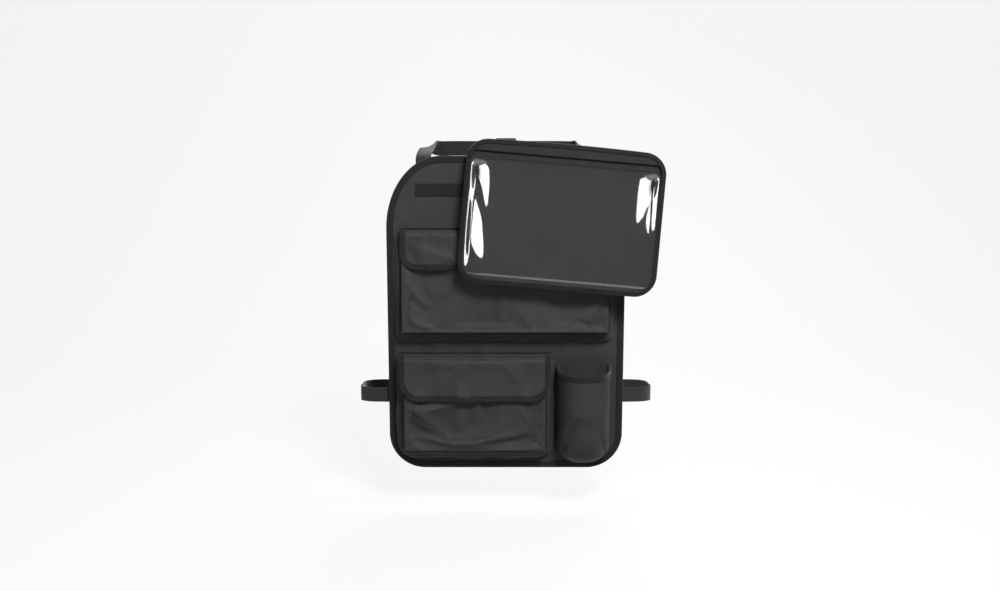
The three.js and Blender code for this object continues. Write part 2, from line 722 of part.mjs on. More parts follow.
function addTabletCase() {
  const { overPanel, angle } = caseLean();
  const centreY = panelHeight + caseTopAbovePanel - caseHeight / 2;
  const planeAt = (y) => overPanel + (panelHeight - y) * Math.tan(angle);
  const tabletCase = new THREE.Group();
  tabletCase.position.set(caseCentreX, centreY, planeAt(centreY));
  tabletCase.rotation.set(-angle, 0, degToRad(-caseRollDegrees));
  layout.add(tabletCase);

  const backFrom = caseWall + seamGap;
  const filmFront = caseDepth - caseWall - seamGap;
  const sheetInset = caseWall + seamGap;
  addPiece('case_back', 'cloth',
    geometryOf(prism(caseOutline(sheetInset), backFrom, backFrom + caseBackThickness)), tabletCase);
  addPiece('case_binding', 'binding',
    foldedRim(caseOutline, caseWall, bindingWidth, backFrom, filmFront), tabletCase);

  // Layers at the mouth, from the front: top band, hook tape, loop tape, hem and film.
  const bandBack = filmFront - clothThickness;
  const hemFront = bandBack - 3 * seamGap - 2 * tapeThickness;
  const filmAtMouth = hemFront - bindingWall - seamGap;
  const halfWidth = caseWidth / 2 - sheetInset;
  const bandTop = caseHeight / 2 - sheetInset;
  const bandBottom = bandTop - topBandHeight;
  const hemBottom = bandBottom - hemBelowBand;
  const filmTop = hemBottom + mouthHemHeight - seamGap - bindingWall;
  const corner = caseCornerRadius - sheetInset;

  const filmDrape = drape((x, y) => {
    const fromSide = Math.min(halfWidth - Math.abs(x), y + caseHeight / 2 - sheetInset);
    const toMouth = smoothstep(y, hemBottom - filmSlope, hemBottom - clothStep);
    const slack = smoothstep(fromSide, bindingWidth, filmSlackReach) * (1 - toMouth);
    let ripple = -filmWaves.length;
    for (const wave of filmWaves) ripple += Math.sin(x / wave.x + y / wave.y);
    const level = lerp(filmFront, filmAtMouth, toMouth);
    return new THREE.Vector3(x, y, level + filmRipple * slack * ripple);
  });
  const film = {
    left: -halfWidth, right: halfWidth, bottom: -caseHeight / 2 + sheetInset, top: filmTop,
    radius: corner, cap: bandTop,
  };
  addPiece('case_window', 'film', cutCloth(filmDrape, film, filmThickness), tabletCase);

  const hemTop = filmTop + seamGap + bindingWall;
  const hemLeft = -halfWidth + cornerInset(bandTop - hemTop, corner) + seamGap;
  const hemColumns = steps(-2 * hemLeft, clothStep);
  const layer = seamGap + bindingWall;
  const hemFold = [
    { y: hemBottom, outer: -filmThickness - layer, inner: -filmThickness - seamGap },
    { y: filmTop + seamGap, outer: -filmThickness - layer, inner: -filmThickness - seamGap },
    { y: filmTop + seamGap, outer: layer, inner: seamGap },
    { y: hemBottom, outer: layer, inner: seamGap },
  ];
  const hemFace = (side, overhang) => (column, row) => {
    const x = lerp(-hemLeft, hemLeft, column / hemColumns);
    const fold = hemFold[row];
    return filmDrape(x, fold.y === hemBottom ? fold.y : fold.y + overhang, fold[side]);
  };
  addPiece('case_mouth_hem', 'cloth', closedSheet(
    hemColumns, hemFold.length - 1, hemFace('outer', bindingWall), hemFace('inner', 0)), tabletCase);

  const bandShape = prism(caseOutline(sheetInset), bandBack, filmFront)
    .intersect(prism(new THREE.Shape([
      new THREE.Vector2(-caseWidth, bandBottom), new THREE.Vector2(caseWidth, bandBottom),
      new THREE.Vector2(caseWidth, caseHeight), new THREE.Vector2(-caseWidth, caseHeight),
    ]), bandBack - caseWall, filmFront + caseWall));
  addPiece('case_top_band', 'cloth', geometryOf(bandShape), tabletCase);

  const closureBottom = bandBottom + seamGap;
  const closure = {
    left: -caseClosureLength / 2, right: caseClosureLength / 2,
    bottom: closureBottom, top: closureBottom + caseClosureHeight,
  };
  const flat = drape((x, y) => new THREE.Vector3(x, y, 0));
  const hookFrom = bandBack - seamGap - tapeThickness;
  addPiece('case_mouth_hook_tape', 'tape', tapeOn(flat, closure, hookFrom, hookFrom + tapeThickness),
    tabletCase);
  const loopFrom = hookFrom - seamGap - tapeThickness;
  addPiece('case_mouth_loop_tape', 'tape', tapeOn(flat, closure, loopFrom, loopFrom + tapeThickness),
    tabletCase);

  addHangerTab(planeAt, angle, backFrom);
}

// The cloth tab sewn to the back of the case. Its hook tape holds on the panel's loop tape.
function addHangerTab(planeAt, angle, backFrom) {
  const faceToPlane = (backFrom - seamGap) / Math.cos(angle);
  const hookBack = panelFront + seamGap + tapeThickness + seamGap;
  const tabFace = hookBack + tapeThickness + seamGap + clothThickness;
  const top = panelHeight + caseTopAbovePanel - hangerTabInset - hangerTabSeam;
  const bottom = tapeBottom - patchMargin;
  const free = top - hangerTabSeam;
  const tab = drape((x, y) => {
    const hang = smoothstep(free - y, 0, free - tapeBottom - tapeHeight);
    return new THREE.Vector3(x, y, lerp(planeAt(y) + faceToPlane, tabFace, hang));
  });
  const left = Math.max(caseCentreX - hangerTabWidth / 2, -panelTapeLength / 2);
  const right = Math.min(left + hangerTabWidth, panelTapeLength / 2);
  addPiece('case_hanger_tab', 'cloth',
    tapeOn(tab, { left, right, bottom, top }, -clothThickness, 0));
  const hook = {
    left: left + patchMargin, right: right - patchMargin, bottom: tapeBottom, top: tapeBottom + tapeHeight,
  };
  addPiece('case_hanger_hook_tape', 'tape', tapeOn(tab, hook,
    -clothThickness - seamGap - tapeThickness, -clothThickness - seamGap));
}

// A three-bar adjuster for a band that runs along x with its width upright, centred at a place.
function addAdjuster(name, bandWidth, centre) {
  const slotHeight = bandWidth + 2 * adjusterClearance;
  const width = 3 * adjusterBar + 2 * adjusterSlot;
  const shape = roundedRectangle(width, slotHeight + 2 * adjusterRail, adjusterCornerRadius);
  for (const side of [-1, 1]) {
    const slot = roundedRectangle(adjusterSlot, slotHeight, adjusterClearance);
    const middle = side * (adjusterBar + adjusterSlot) / 2;
    const rim = slot.getPoints(slotCornerSteps).map((point) => point.setX(point.x + middle));
    shape.holes.push(new THREE.Path(rim));
  }
  const plate = addPiece(name, 'plastic',
    geometryOf(prism(shape, -adjusterThickness / 2, adjusterThickness / 2)));
  plate.position.copy(centre);
}

const upright = new THREE.Vector3(0, 1, 0);

// Where a band that is sewn in a loop round an adjuster's left bar runs, from the left.
function sewnLoop(centre, thickness) {
  const bar = adjusterSlot + adjusterBar;
  const layer = adjusterThickness / 2 + seamGap + thickness / 2;
  const turn = bar - adjusterBar / 2 - seamGap - thickness;
  return [
    [-bar - sewnLoopLength, layer], [-bar - adjusterBar, layer], [-bar, layer],
    [-turn, layer * turnHeights.sewn], [-turn + thickness / 2, 0], [-turn, -layer * turnHeights.sewn],
    [-bar, -layer], [-bar - adjusterBar, -layer],
    [-bar - sewnLoopLength / 2, layer - thickness - sewnLoopEase],
    [-bar - sewnLoopLength, layer - thickness - 2 * seamGap],
  ].map(([x, z]) => ({ at: new THREE.Vector3(centre.x + x, centre.y, centre.z + z), across: upright }));
}

// Where a band threaded through an adjuster's right side runs, from its tail.
function threadedTail(centre, thickness) {
  const bar = adjusterSlot + adjusterBar;
  const layer = adjusterThickness / 2 + seamGap + thickness / 2;
  const tailLayer = layer + thickness + 2 * seamGap;
  const turn = adjusterBar / 2 + seamGap + thickness;
  return [
    [strapTailLength, -tailLayer], [bar + adjusterBar, -tailLayer], [bar, -tailLayer],
    [turn + thickness, -tailLayer * turnHeights.outer], [0, -layer],
    [-turn + thickness / 2, -layer * turnHeights.near], [-turn - thickness / 2, 0],
    [-turn + thickness / 2, layer * turnHeights.near], [0, layer], [turn, layer * turnHeights.near],
    [bar - adjusterBar - thickness, -layer * turnHeights.inner], [bar, -layer],
    [bar + adjusterBar, -layer], [strapTailLength, -layer],
  ].map(([x, z]) => ({ at: new THREE.Vector3(centre.x + x, centre.y, centre.z + z), across: upright }));
}

// The webbing that goes up and back from both shoulders to its adjuster.
function addHeadrestStrap() {
  const behind = -(headrestPostDepth + headrestPostDiameter / 2 + strapPostClearance);
  const legLayer = strapLayer - webbingThickness / 2;
  const runHeight = panelHeight + strapRise;
  const centre = new THREE.Vector3(0, runHeight, behind);
  const top = shoulderTop(strapAttachX, 0);
  const sideways = new THREE.Vector3(1, 0, 0);
  const leg = [
    { at: [-strapAttachX, top - strapSeam, legLayer], across: sideways },
    { at: [-strapAttachX, top - bindingWidth, legLayer], across: sideways },
    { at: [-strapAttachX, top + strapEdgeBend, legLayer - strapEdgeBend], across: sideways },
    { at: [-strapAttachX + strapEdgeBend, top + strapRise, legLayer - strapLegBend], across: sideways },
    ...strapRoute.map(({ inward, above, back, across }) => ({
      at: [-strapAttachX + inward * strapLegLean, runHeight + above * strapRise, behind * back],
      across: new THREE.Vector3(...across),
    })),
  ].map(({ at, across }) => ({ at: new THREE.Vector3(...at), across }));
  const mirrored = leg.map(({ at, across }) => ({
    at: new THREE.Vector3(-at.x, at.y, at.z), across: new THREE.Vector3(-across.x, across.y, across.z),
  }));
  addPiece('left_headrest_strap', 'webbing',
    band([...leg, ...sewnLoop(centre, webbingThickness)], webbingWidth, webbingThickness));
  addPiece('right_headrest_strap', 'webbing',
    band([...threadedTail(centre, webbingThickness), ...mirrored.reverse()],
      webbingWidth, webbingThickness));
  addAdjuster('headrest_strap_adjuster', webbingWidth, centre);
  const patchWidth = webbingWidth + 2 * patchMargin;
  const patchBottom = top - strapSeam - patchMargin;
  const patchTop = shoulderTop(strapAttachX + patchWidth / 2, panelBindingWidth) - seamGap;
  addPatches('strap', strapAttachX, patchBottom, patchWidth, patchTop - patchBottom);
}

// Cloth patches on the panel's back, under the sewn ends of the bands on both sides.
function addPatches(name, middleX, bottom, width, height) {
  const flat = drape((x, y) => new THREE.Vector3(x, y, 0));
  for (const [side, sign] of [['left', -1], ['right', 1]]) {
    const middle = sign * middleX;
    const area = { left: middle - width / 2, right: middle + width / 2, bottom, top: bottom + height };
    addPiece(`${side}_${name}_anchor_patch`, 'cloth',
      tapeOn(flat, area, -seamGap - patchThickness, -seamGap));
  }
}

// The elastic belt: from both sides of the panel, round two corners a side, to the adjuster far behind.
function addSeatElastic() {
  const layer = strapLayer - elasticThickness / 2;
  const front = layer - 3 * elasticDip;
  const far = -seatBackThickness;
  const edge = seatBackWidth / 2;
  const start = panelWidth / 2 - panelBindingWidth - elasticSeam;
  const centre = new THREE.Vector3(0, elasticHeight - elasticFarDrop, far);
  const cornerTurns = [0, Math.PI / 4, Math.PI / 2];
  const side = [
    [start, layer], [start + elasticSeam, layer], [panelWidth / 2, layer - elasticDip],
    ...cornerTurns.map((turn) => [
      edge - seatCornerRadius * (1 - Math.sin(turn)), front - seatCornerRadius * (1 - Math.cos(turn))]),
    [edge, far / 2],
    ...cornerTurns.map((turn) => [
      edge - seatCornerRadius * (1 - Math.cos(turn)), far + seatCornerRadius * (1 - Math.sin(turn))]),
    [edge / 2, far],
  ];
  const along = (sign) => side.map(([x, z]) => {
    const drop = elasticFarDrop * clamp((layer - z) / (layer - far), 0, 1);
    return { at: new THREE.Vector3(sign * x, elasticHeight - drop, z), across: upright };
  });
  addPiece('left_seat_elastic', 'webbing',
    band([...along(-1), ...sewnLoop(centre, elasticThickness)], elasticWidth, elasticThickness));
  addPiece('right_seat_elastic', 'webbing',
    band([...threadedTail(centre, elasticThickness), ...along(1).reverse()],
      elasticWidth, elasticThickness));
  addAdjuster('seat_elastic_adjuster', elasticWidth, centre);
  addPatches('elastic', start + elasticSeam / 2 - seamGap, elasticHeight - elasticWidth / 2 - patchMargin,
    elasticSeam - seamGap, elasticWidth + 2 * patchMargin);
}

addPanel();
addBoxPocket(lowerPocket);
addBoxPocket(upperPocket);
addBottlePocket();
addTabletCase();
addHeadrestStrap();
addSeatElastic();

export default organizer;
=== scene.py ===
"""The black cloth organizer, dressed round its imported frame: cloth, edge tape, webbing, elastic and film."""

import json
import logging
import math
from collections.abc import Callable, Sequence
from dataclasses import dataclass, field, replace
from enum import Enum
from functools import cache

import bmesh
import bpy
import numpy as np
from mathutils import Vector
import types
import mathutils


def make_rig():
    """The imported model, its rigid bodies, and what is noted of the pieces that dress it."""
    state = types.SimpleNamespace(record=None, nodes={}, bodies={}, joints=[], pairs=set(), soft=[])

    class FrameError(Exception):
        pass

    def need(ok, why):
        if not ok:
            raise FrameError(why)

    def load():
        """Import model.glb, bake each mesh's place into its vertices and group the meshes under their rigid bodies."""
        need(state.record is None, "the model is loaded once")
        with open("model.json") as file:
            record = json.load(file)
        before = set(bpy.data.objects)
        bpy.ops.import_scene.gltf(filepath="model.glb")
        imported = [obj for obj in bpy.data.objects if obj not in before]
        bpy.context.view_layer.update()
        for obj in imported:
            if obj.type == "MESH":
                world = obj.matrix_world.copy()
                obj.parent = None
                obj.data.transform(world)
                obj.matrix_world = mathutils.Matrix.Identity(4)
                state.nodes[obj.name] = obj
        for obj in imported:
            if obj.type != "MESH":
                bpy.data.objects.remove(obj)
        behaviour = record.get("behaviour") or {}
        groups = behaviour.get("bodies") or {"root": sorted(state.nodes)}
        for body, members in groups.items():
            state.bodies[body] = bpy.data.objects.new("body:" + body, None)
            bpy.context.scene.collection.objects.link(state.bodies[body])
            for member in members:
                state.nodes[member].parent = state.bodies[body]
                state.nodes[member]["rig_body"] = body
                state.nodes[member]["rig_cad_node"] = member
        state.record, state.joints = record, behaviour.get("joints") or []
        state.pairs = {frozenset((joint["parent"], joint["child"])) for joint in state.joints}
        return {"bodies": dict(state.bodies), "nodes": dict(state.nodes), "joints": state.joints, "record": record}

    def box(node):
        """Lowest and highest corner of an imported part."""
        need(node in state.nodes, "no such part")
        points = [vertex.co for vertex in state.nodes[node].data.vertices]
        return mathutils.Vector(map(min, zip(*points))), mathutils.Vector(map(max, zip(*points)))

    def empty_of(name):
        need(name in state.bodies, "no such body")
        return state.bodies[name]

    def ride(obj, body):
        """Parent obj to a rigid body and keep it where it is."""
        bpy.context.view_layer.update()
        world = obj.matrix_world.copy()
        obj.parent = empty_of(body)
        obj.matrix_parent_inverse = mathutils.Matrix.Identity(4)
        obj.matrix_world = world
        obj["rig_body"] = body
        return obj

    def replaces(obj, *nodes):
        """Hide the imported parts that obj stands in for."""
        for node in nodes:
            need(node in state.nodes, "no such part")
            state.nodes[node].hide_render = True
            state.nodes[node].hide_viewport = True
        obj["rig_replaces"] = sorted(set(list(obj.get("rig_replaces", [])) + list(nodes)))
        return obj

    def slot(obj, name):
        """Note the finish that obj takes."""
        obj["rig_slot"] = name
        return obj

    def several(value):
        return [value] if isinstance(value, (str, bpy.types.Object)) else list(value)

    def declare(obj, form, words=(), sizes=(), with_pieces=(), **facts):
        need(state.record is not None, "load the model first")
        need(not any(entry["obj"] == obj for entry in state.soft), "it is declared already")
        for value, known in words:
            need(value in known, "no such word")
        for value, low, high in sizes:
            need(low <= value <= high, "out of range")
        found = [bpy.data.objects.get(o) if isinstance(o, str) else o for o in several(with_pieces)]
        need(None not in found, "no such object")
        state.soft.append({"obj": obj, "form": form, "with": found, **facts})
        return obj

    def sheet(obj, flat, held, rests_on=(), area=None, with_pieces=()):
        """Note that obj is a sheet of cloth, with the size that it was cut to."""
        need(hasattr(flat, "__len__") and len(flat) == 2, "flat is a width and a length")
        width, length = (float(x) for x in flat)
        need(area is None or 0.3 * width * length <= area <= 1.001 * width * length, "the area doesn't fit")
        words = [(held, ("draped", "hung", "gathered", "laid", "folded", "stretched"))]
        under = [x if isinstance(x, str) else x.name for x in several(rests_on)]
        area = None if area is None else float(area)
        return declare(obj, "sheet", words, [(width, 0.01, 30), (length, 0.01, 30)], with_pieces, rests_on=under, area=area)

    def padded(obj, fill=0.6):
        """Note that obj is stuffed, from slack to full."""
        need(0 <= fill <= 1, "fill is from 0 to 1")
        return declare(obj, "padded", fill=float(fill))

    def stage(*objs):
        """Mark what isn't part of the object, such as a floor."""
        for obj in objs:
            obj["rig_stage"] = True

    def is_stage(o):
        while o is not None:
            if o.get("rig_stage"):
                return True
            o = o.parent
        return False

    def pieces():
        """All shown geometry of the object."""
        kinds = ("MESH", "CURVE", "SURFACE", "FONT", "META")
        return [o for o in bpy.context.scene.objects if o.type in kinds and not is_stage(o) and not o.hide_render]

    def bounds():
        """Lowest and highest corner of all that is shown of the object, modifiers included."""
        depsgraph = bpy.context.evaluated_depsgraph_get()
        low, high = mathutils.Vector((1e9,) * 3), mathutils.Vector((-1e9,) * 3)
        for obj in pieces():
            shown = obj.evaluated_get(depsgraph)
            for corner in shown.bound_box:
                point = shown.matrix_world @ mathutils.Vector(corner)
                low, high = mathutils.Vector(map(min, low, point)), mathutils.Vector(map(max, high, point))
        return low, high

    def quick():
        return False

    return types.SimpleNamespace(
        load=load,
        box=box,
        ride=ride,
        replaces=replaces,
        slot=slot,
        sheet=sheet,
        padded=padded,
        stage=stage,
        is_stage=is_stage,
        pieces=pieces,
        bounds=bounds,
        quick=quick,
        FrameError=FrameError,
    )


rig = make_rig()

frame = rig.load()
CAD_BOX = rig.bounds()

log = logging.getLogger("organizer")

MM = 0.001
ROOT = "root"
Places = np.ndarray
Numbers = np.ndarray | float
Surface = Callable[[np.ndarray, np.ndarray], Places]
Route = list[list[float]]
Socket = bpy.types.NodeSocket

PANEL_LOW, PANEL_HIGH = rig.box("panel_binding")
PANEL_WIDTH = PANEL_HIGH.x - PANEL_LOW.x
PANEL_HEIGHT = PANEL_HIGH.z - PANEL_LOW.z
PANEL_THICKNESS = 3.4 * MM
SEAM_GAP = 0.3 * MM
CLOTH = 1.4 * MM
TAPE_WALL = 0.9 * MM
BINDING = 8 * MM
STITCH_INSET = 1.9 * MM
FASTENING = 1.2 * MM
FASTENING_HEIGHT = 20.5 * MM
CLOSURE_STACK = 3 * SEAM_GAP + 2 * FASTENING + CLOTH
LAYER = SEAM_GAP + TAPE_WALL


def together(*parts: Numbers) -> np.ndarray:
    """Puts coordinates together, each given as an array or as one number for all points."""
    return np.stack(np.broadcast_arrays(*parts), axis=-1)


def to_frame(points: Places) -> Places:
    """Turns layout places (right, up from the panel's lower edge, out of its back) into the frame's."""
    x, y, z = np.moveaxis(points, -1, 0)
    return together(x, -z, y - PANEL_HEIGHT / 2)


def ease(value: Numbers, low: float, high: float) -> np.ndarray:
    """Rises smoothly from 0 at low to 1 at high."""
    share = np.clip((value - low) / (high - low), 0.0, 1.0)
    return share * share * (3 - 2 * share)


def mix(low: Numbers, high: Numbers, share: Numbers) -> np.ndarray:
    """Gives the value a share of the way from low to high."""
    return low + (high - low) * share


def rounding(rise: Numbers, radius: float) -> np.ndarray:
    """Gives how far a round corner takes a side in, at a rise above the corner's lowest point."""
    short = np.clip(radius - rise, 0, radius)
    return radius - np.sqrt(np.maximum(0, radius**2 - short**2))


def run_of(points: np.ndarray) -> np.ndarray:
    """Gives how far along a line of points each of them lies."""
    return np.concatenate([[0], np.cumsum(np.linalg.norm(np.diff(points, axis=0), axis=1))])


def ripples(x: np.ndarray, y: np.ndarray, wavelength: float, seed: int, waves: int = 7) -> np.ndarray:
    """Adds up sine waves in seeded directions, as slack cloth or film ripples.

    Args:
        x: First coordinate of each point.
        y: Second coordinate of each point.
        wavelength: The usual distance between two crests.
        seed: Chooses the waves.
        waves: How many waves are added.

    Returns:
        A height at each point, mostly from -1 to 1.
    """
    draw = np.random.default_rng(seed)
    turns = draw.uniform(0, 2 * math.pi, waves)
    lengths = wavelength * draw.uniform(0.7, 1.6, waves)
    starts = draw.uniform(0, 2 * math.pi, waves)
    total = np.zeros(np.broadcast(x, y).shape)
    for turn, length, start in zip(turns, lengths, starts):
        total += np.sin(2 * math.pi * (x * math.cos(turn) + y * math.sin(turn)) / length + start)
    return total / math.sqrt(waves)


def crumples(x: np.ndarray, y: np.ndarray, size: float, seed: int, folds: int = 4) -> np.ndarray:
    """Adds up folds with sharp crests in seeded directions, as stiff coated cloth crumples.

    Args:
        x: First coordinate of each point.
        y: Second coordinate of each point.
        size: The usual distance between two crests.
        seed: Chooses the folds.
        folds: How many sets of folds are added.

    Returns:
        A height at each point, mostly from -1 to 1.
    """
    draw = np.random.default_rng(seed)
    turns, starts = draw.uniform(0, math.pi, folds), draw.uniform(0, math.pi, folds)
    lengths = size * draw.uniform(0.8, 1.7, folds)
    bend = 0.7 * ripples(x, y, 2.5 * size, seed + 1)
    total = np.zeros(np.broadcast(x, y).shape)
    for turn, length, start in zip(turns, lengths, starts):
        along = x * math.cos(turn) + y * math.sin(turn)
        total += 1 - 2 * np.abs(np.sin(math.pi * along / length + start + bend))
    return total / math.sqrt(folds)


def outline_points(half: float, low: float, high: float, corner: float, shoulder: tuple[float, float],
                   counts: tuple[int, int, int, int], bow: float = 0.0) -> np.ndarray:
    """Gives an outline with round corners, anticlockwise from the lower left one.

    Args:
        half: Half its width.
        low: Height of its lower side.
        high: Height of its upper side.
        corner: Radius of the lower corners.
        shoulder: Width and height of the upper corners.
        counts: Points on the lower side, on each upright side, on the upper side and on each corner.
        bow: How far the upper side rises in its middle.

    Returns:
        The x and y of each point.
    """
    wide, tall = shoulder
    base, neck = low + corner, high - tall
    below, beside, above, turning = counts
    share = np.arange(above) / above
    parts = []
    for start, end, count, (x, y), reach, rise, first in (
        ((-half + corner, low), (half - corner, low), below, (half - corner, base), corner, corner, -90),
        ((half, base), (half, neck), beside, (half - wide, neck), wide, tall, 0),
        ((half - wide, high), (-half + wide, high), above, (-half + wide, neck), wide, tall, 90),
        ((-half, neck), (-half, base), beside, (-half + corner, base), corner, corner, 180),
    ):
        turn = np.radians(np.linspace(first, first + 90, turning + 1)[:-1])
        parts += [np.linspace(start, end, count + 1)[:-1],
                  together(x + reach * np.cos(turn), y + rise * np.sin(turn))]
    parts[4][:, 1] += 4 * bow * share * (1 - share)
    return np.concatenate(parts)


class Drape:
    """Places pattern points on a cloth's shape and lifts them along its outward side."""

    probe = 0.5 * MM

    def __init__(self, surface: Surface) -> None:
        """Keeps the surface, which gives a layout place for each pattern point."""
        self.surface = surface

    def __call__(self, x: Numbers, y: Numbers, height: Numbers = 0.0) -> Places:
        """Gives the layout places of pattern points at heights above the cloth's outer face.

        Args:
            x: Pattern coordinates along the rows.
            y: Pattern coordinates up the rows.
            height: One for each point or one for all.

        Returns:
            The places, with the three coordinates last.
        """
        x, y = np.broadcast_arrays(np.asarray(x, float), np.asarray(y, float))
        along_x = self.surface(x + self.probe, y) - self.surface(x - self.probe, y)
        along_y = self.surface(x, y + self.probe) - self.surface(x, y - self.probe)
        normal = np.cross(along_x, along_y)
        normal /= np.maximum(np.linalg.norm(normal, axis=-1, keepdims=True), 1e-12)
        return self.surface(x, y) + normal * np.broadcast_to(height, x.shape)[..., None]


def flat_drape(level: float) -> Drape:
    """Gives the drape of cloth that lies flat at a height out of the panel's back."""
    return Drape(lambda x, y: together(x, y, level))


@dataclass(frozen=True)
class Pattern:
    """A flat cut of cloth with rounded lower corners, and upper ones whose round ends at cap."""

    left: float
    right: float
    bottom: float
    top: float
    radius: float = 0.0
    cap: float = math.inf

    @property
    def flat(self) -> tuple[float, float]:
        """The width and height of the cut."""
        return self.right - self.left, self.top - self.bottom

    @property
    def area(self) -> float:
        """The area of the cut, without its rounded corners."""
        corners = 2 if math.isinf(self.cap) else 4
        return self.flat[0] * self.flat[1] - corners * (1 - math.pi / 4) * self.radius**2

    def inset(self, y: Numbers) -> np.ndarray:
        """How far the rounded corners take the sides in at heights y."""
        return rounding(np.minimum(y - self.bottom, self.cap - y), self.radius)

    def ring(self, inset: float = 0.0) -> np.ndarray:
        """The four corners of the cut's rectangle, taken in by inset."""
        low, high = (self.left + inset, self.bottom + inset), (self.right - inset, self.top - inset)
        return np.array([low, (high[0], low[1]), high, (low[0], high[1])])

    def rows(self, heights: np.ndarray, share: np.ndarray) -> tuple[np.ndarray, np.ndarray]:
        """Spreads points over the cut in rows at heights, at shares of its width."""
        inset = self.inset(heights)[:, None]
        x = mix(self.left + inset, self.right - inset, share[None, :])
        return x, np.broadcast_to(heights[:, None], x.shape)

    def grid(self, step: float, hem: bool = False) -> tuple[np.ndarray, np.ndarray]:
        """Spreads points over the cut.

        Args:
            step: The usual distance between two points.
            hem: Whether the points stand closer near the sides.

        Returns:
            The x and y of each point, by row and column.
        """
        turns = np.linspace(0, math.pi / 2, max(6, round(self.radius * 1.6 / step)), endpoint=False)
        corner = self.bottom + self.radius * (1 - np.cos(turns)) if self.radius > 0 else []
        start = self.bottom + self.radius
        sides = np.linspace(start, self.top, max(2, round((self.top - start) / step) + 1))
        share = np.linspace(0, 1, max(2, round(self.flat[0] / step) + 1))
        if hem:
            fine = np.array([0, 0.5, 1.1, 1.8, 2.6, 3.4, 4.4]) * MM / self.flat[0]
            inner = share[(share > fine[-1] + 1e-3) & (share < 1 - fine[-1] - 1e-3)]
            share = np.concatenate([fine, inner, 1 - fine[::-1]])
        return self.rows(np.concatenate([corner, sides]), share)


def strip_at(middle: float, length: float, low: float, height: float = FASTENING_HEIGHT) -> Pattern:
    """Gives the cut of a strip by its middle, its length and its lower edge."""
    return Pattern(middle - length / 2, middle + length / 2, low, low + height)


@dataclass(frozen=True)
class Stations:
    """Points along an edge of a pattern, each with the direction that points into the pattern."""

    x: np.ndarray
    y: np.ndarray
    in_x: np.ndarray
    in_y: np.ndarray

    def at(self, inset: Numbers) -> tuple[np.ndarray, np.ndarray]:
        """Gives the pattern points at an inset from the edge."""
        inset = np.atleast_1d(inset)
        return (self.x[:, None] + self.in_x[:, None] * inset,
                self.y[:, None] + self.in_y[:, None] * inset)

    def line(self, drape: Drape, inset: float, height: float) -> Places:
        """Gives the places of a line on a drape, at an inset from the edge."""
        return drape(*self.at(inset), height)[:, 0]


def edge_between(start: Sequence[float], end: Sequence[float], inward: Sequence[float],
                 step: float) -> Stations:
    """Puts stations along a straight edge.

    Args:
        start: The first point.
        end: The last point.
        inward: The direction into the cloth.
        step: The distance between stations.

    Returns:
        The stations, both ends included.
    """
    count = max(2, round(math.dist(start, end) / step) + 1)
    share = np.linspace(0, 1, count)
    return Stations(mix(start[0], end[0], share), mix(start[1], end[1], share),
                    np.full(count, inward[0]), np.full(count, inward[1]))


def corner_stations(x: float, y: float, radius: float, first: float, step: float) -> Stations:
    """Puts stations round a quarter of a circle about x, y, from an angle in degrees."""
    turn = np.radians(np.linspace(first, first + 90, max(4, round(radius * math.pi / 2 / step) + 1)))
    return Stations(x + radius * np.cos(turn), y + radius * np.sin(turn), -np.cos(turn), -np.sin(turn))


def trough(pattern: Pattern, top: float, step: float) -> Stations:
    """Puts stations down a pattern's left side, along its bottom and up its right side.

    Args:
        pattern: The cut whose edge is followed.
        top: Where the stations start and end.
        step: The distance between stations.

    Returns:
        The stations, from the upper left to the upper right.
    """
    left, right, bottom, radius = pattern.left, pattern.right, pattern.bottom, pattern.radius
    low = bottom + radius
    parts = [
        edge_between((left, top), (left, low), (1, 0), step),
        corner_stations(left + radius, low, radius, 180, step),
        edge_between((left + radius, bottom), (right - radius, bottom), (0, 1), step),
        corner_stations(right - radius, low, radius, 270, step),
        edge_between((right, low), (right, top), (-1, 0), step),
    ]
    keep = [slice(0, -1)] * 4 + [slice(None)]
    return Stations(*(np.concatenate([getattr(part, name)[kept] for part, kept in zip(parts, keep)])
                      for name in ("x", "y", "in_x", "in_y")))


# Node trees


class Wiring:
    """A node tree in the making."""

    def __init__(self, tree: bpy.types.NodeTree) -> None:
        """Keeps the tree."""
        self.tree = tree

    def join(self, source: Socket | object, target: Socket) -> None:
        """Joins a socket to another, or sets it to a value."""
        if isinstance(source, Socket):
            self.tree.links.new(source, target)
        else:
            target.default_value = source

    def add(self, kind: str, inputs: dict[str | int, object] | None = None,
            **options: object) -> bpy.types.Node:
        """Adds a node.

        Args:
            kind: Blender's name of the node.
            inputs: A socket or a value for each input, by its name or place.
            options: The node's options.

        Returns:
            The node.
        """
        node = self.tree.nodes.new(kind)
        for name, value in options.items():
            setattr(node, name, value)
        for name, source in (inputs or {}).items():
            self.join(source, node.inputs[name])
        return node

    def math(self, operation: str, *values: Socket | float) -> Socket:
        """Works out one step of arithmetic."""
        return self.add("ShaderNodeMath", dict(enumerate(values)), operation=operation).outputs[0]


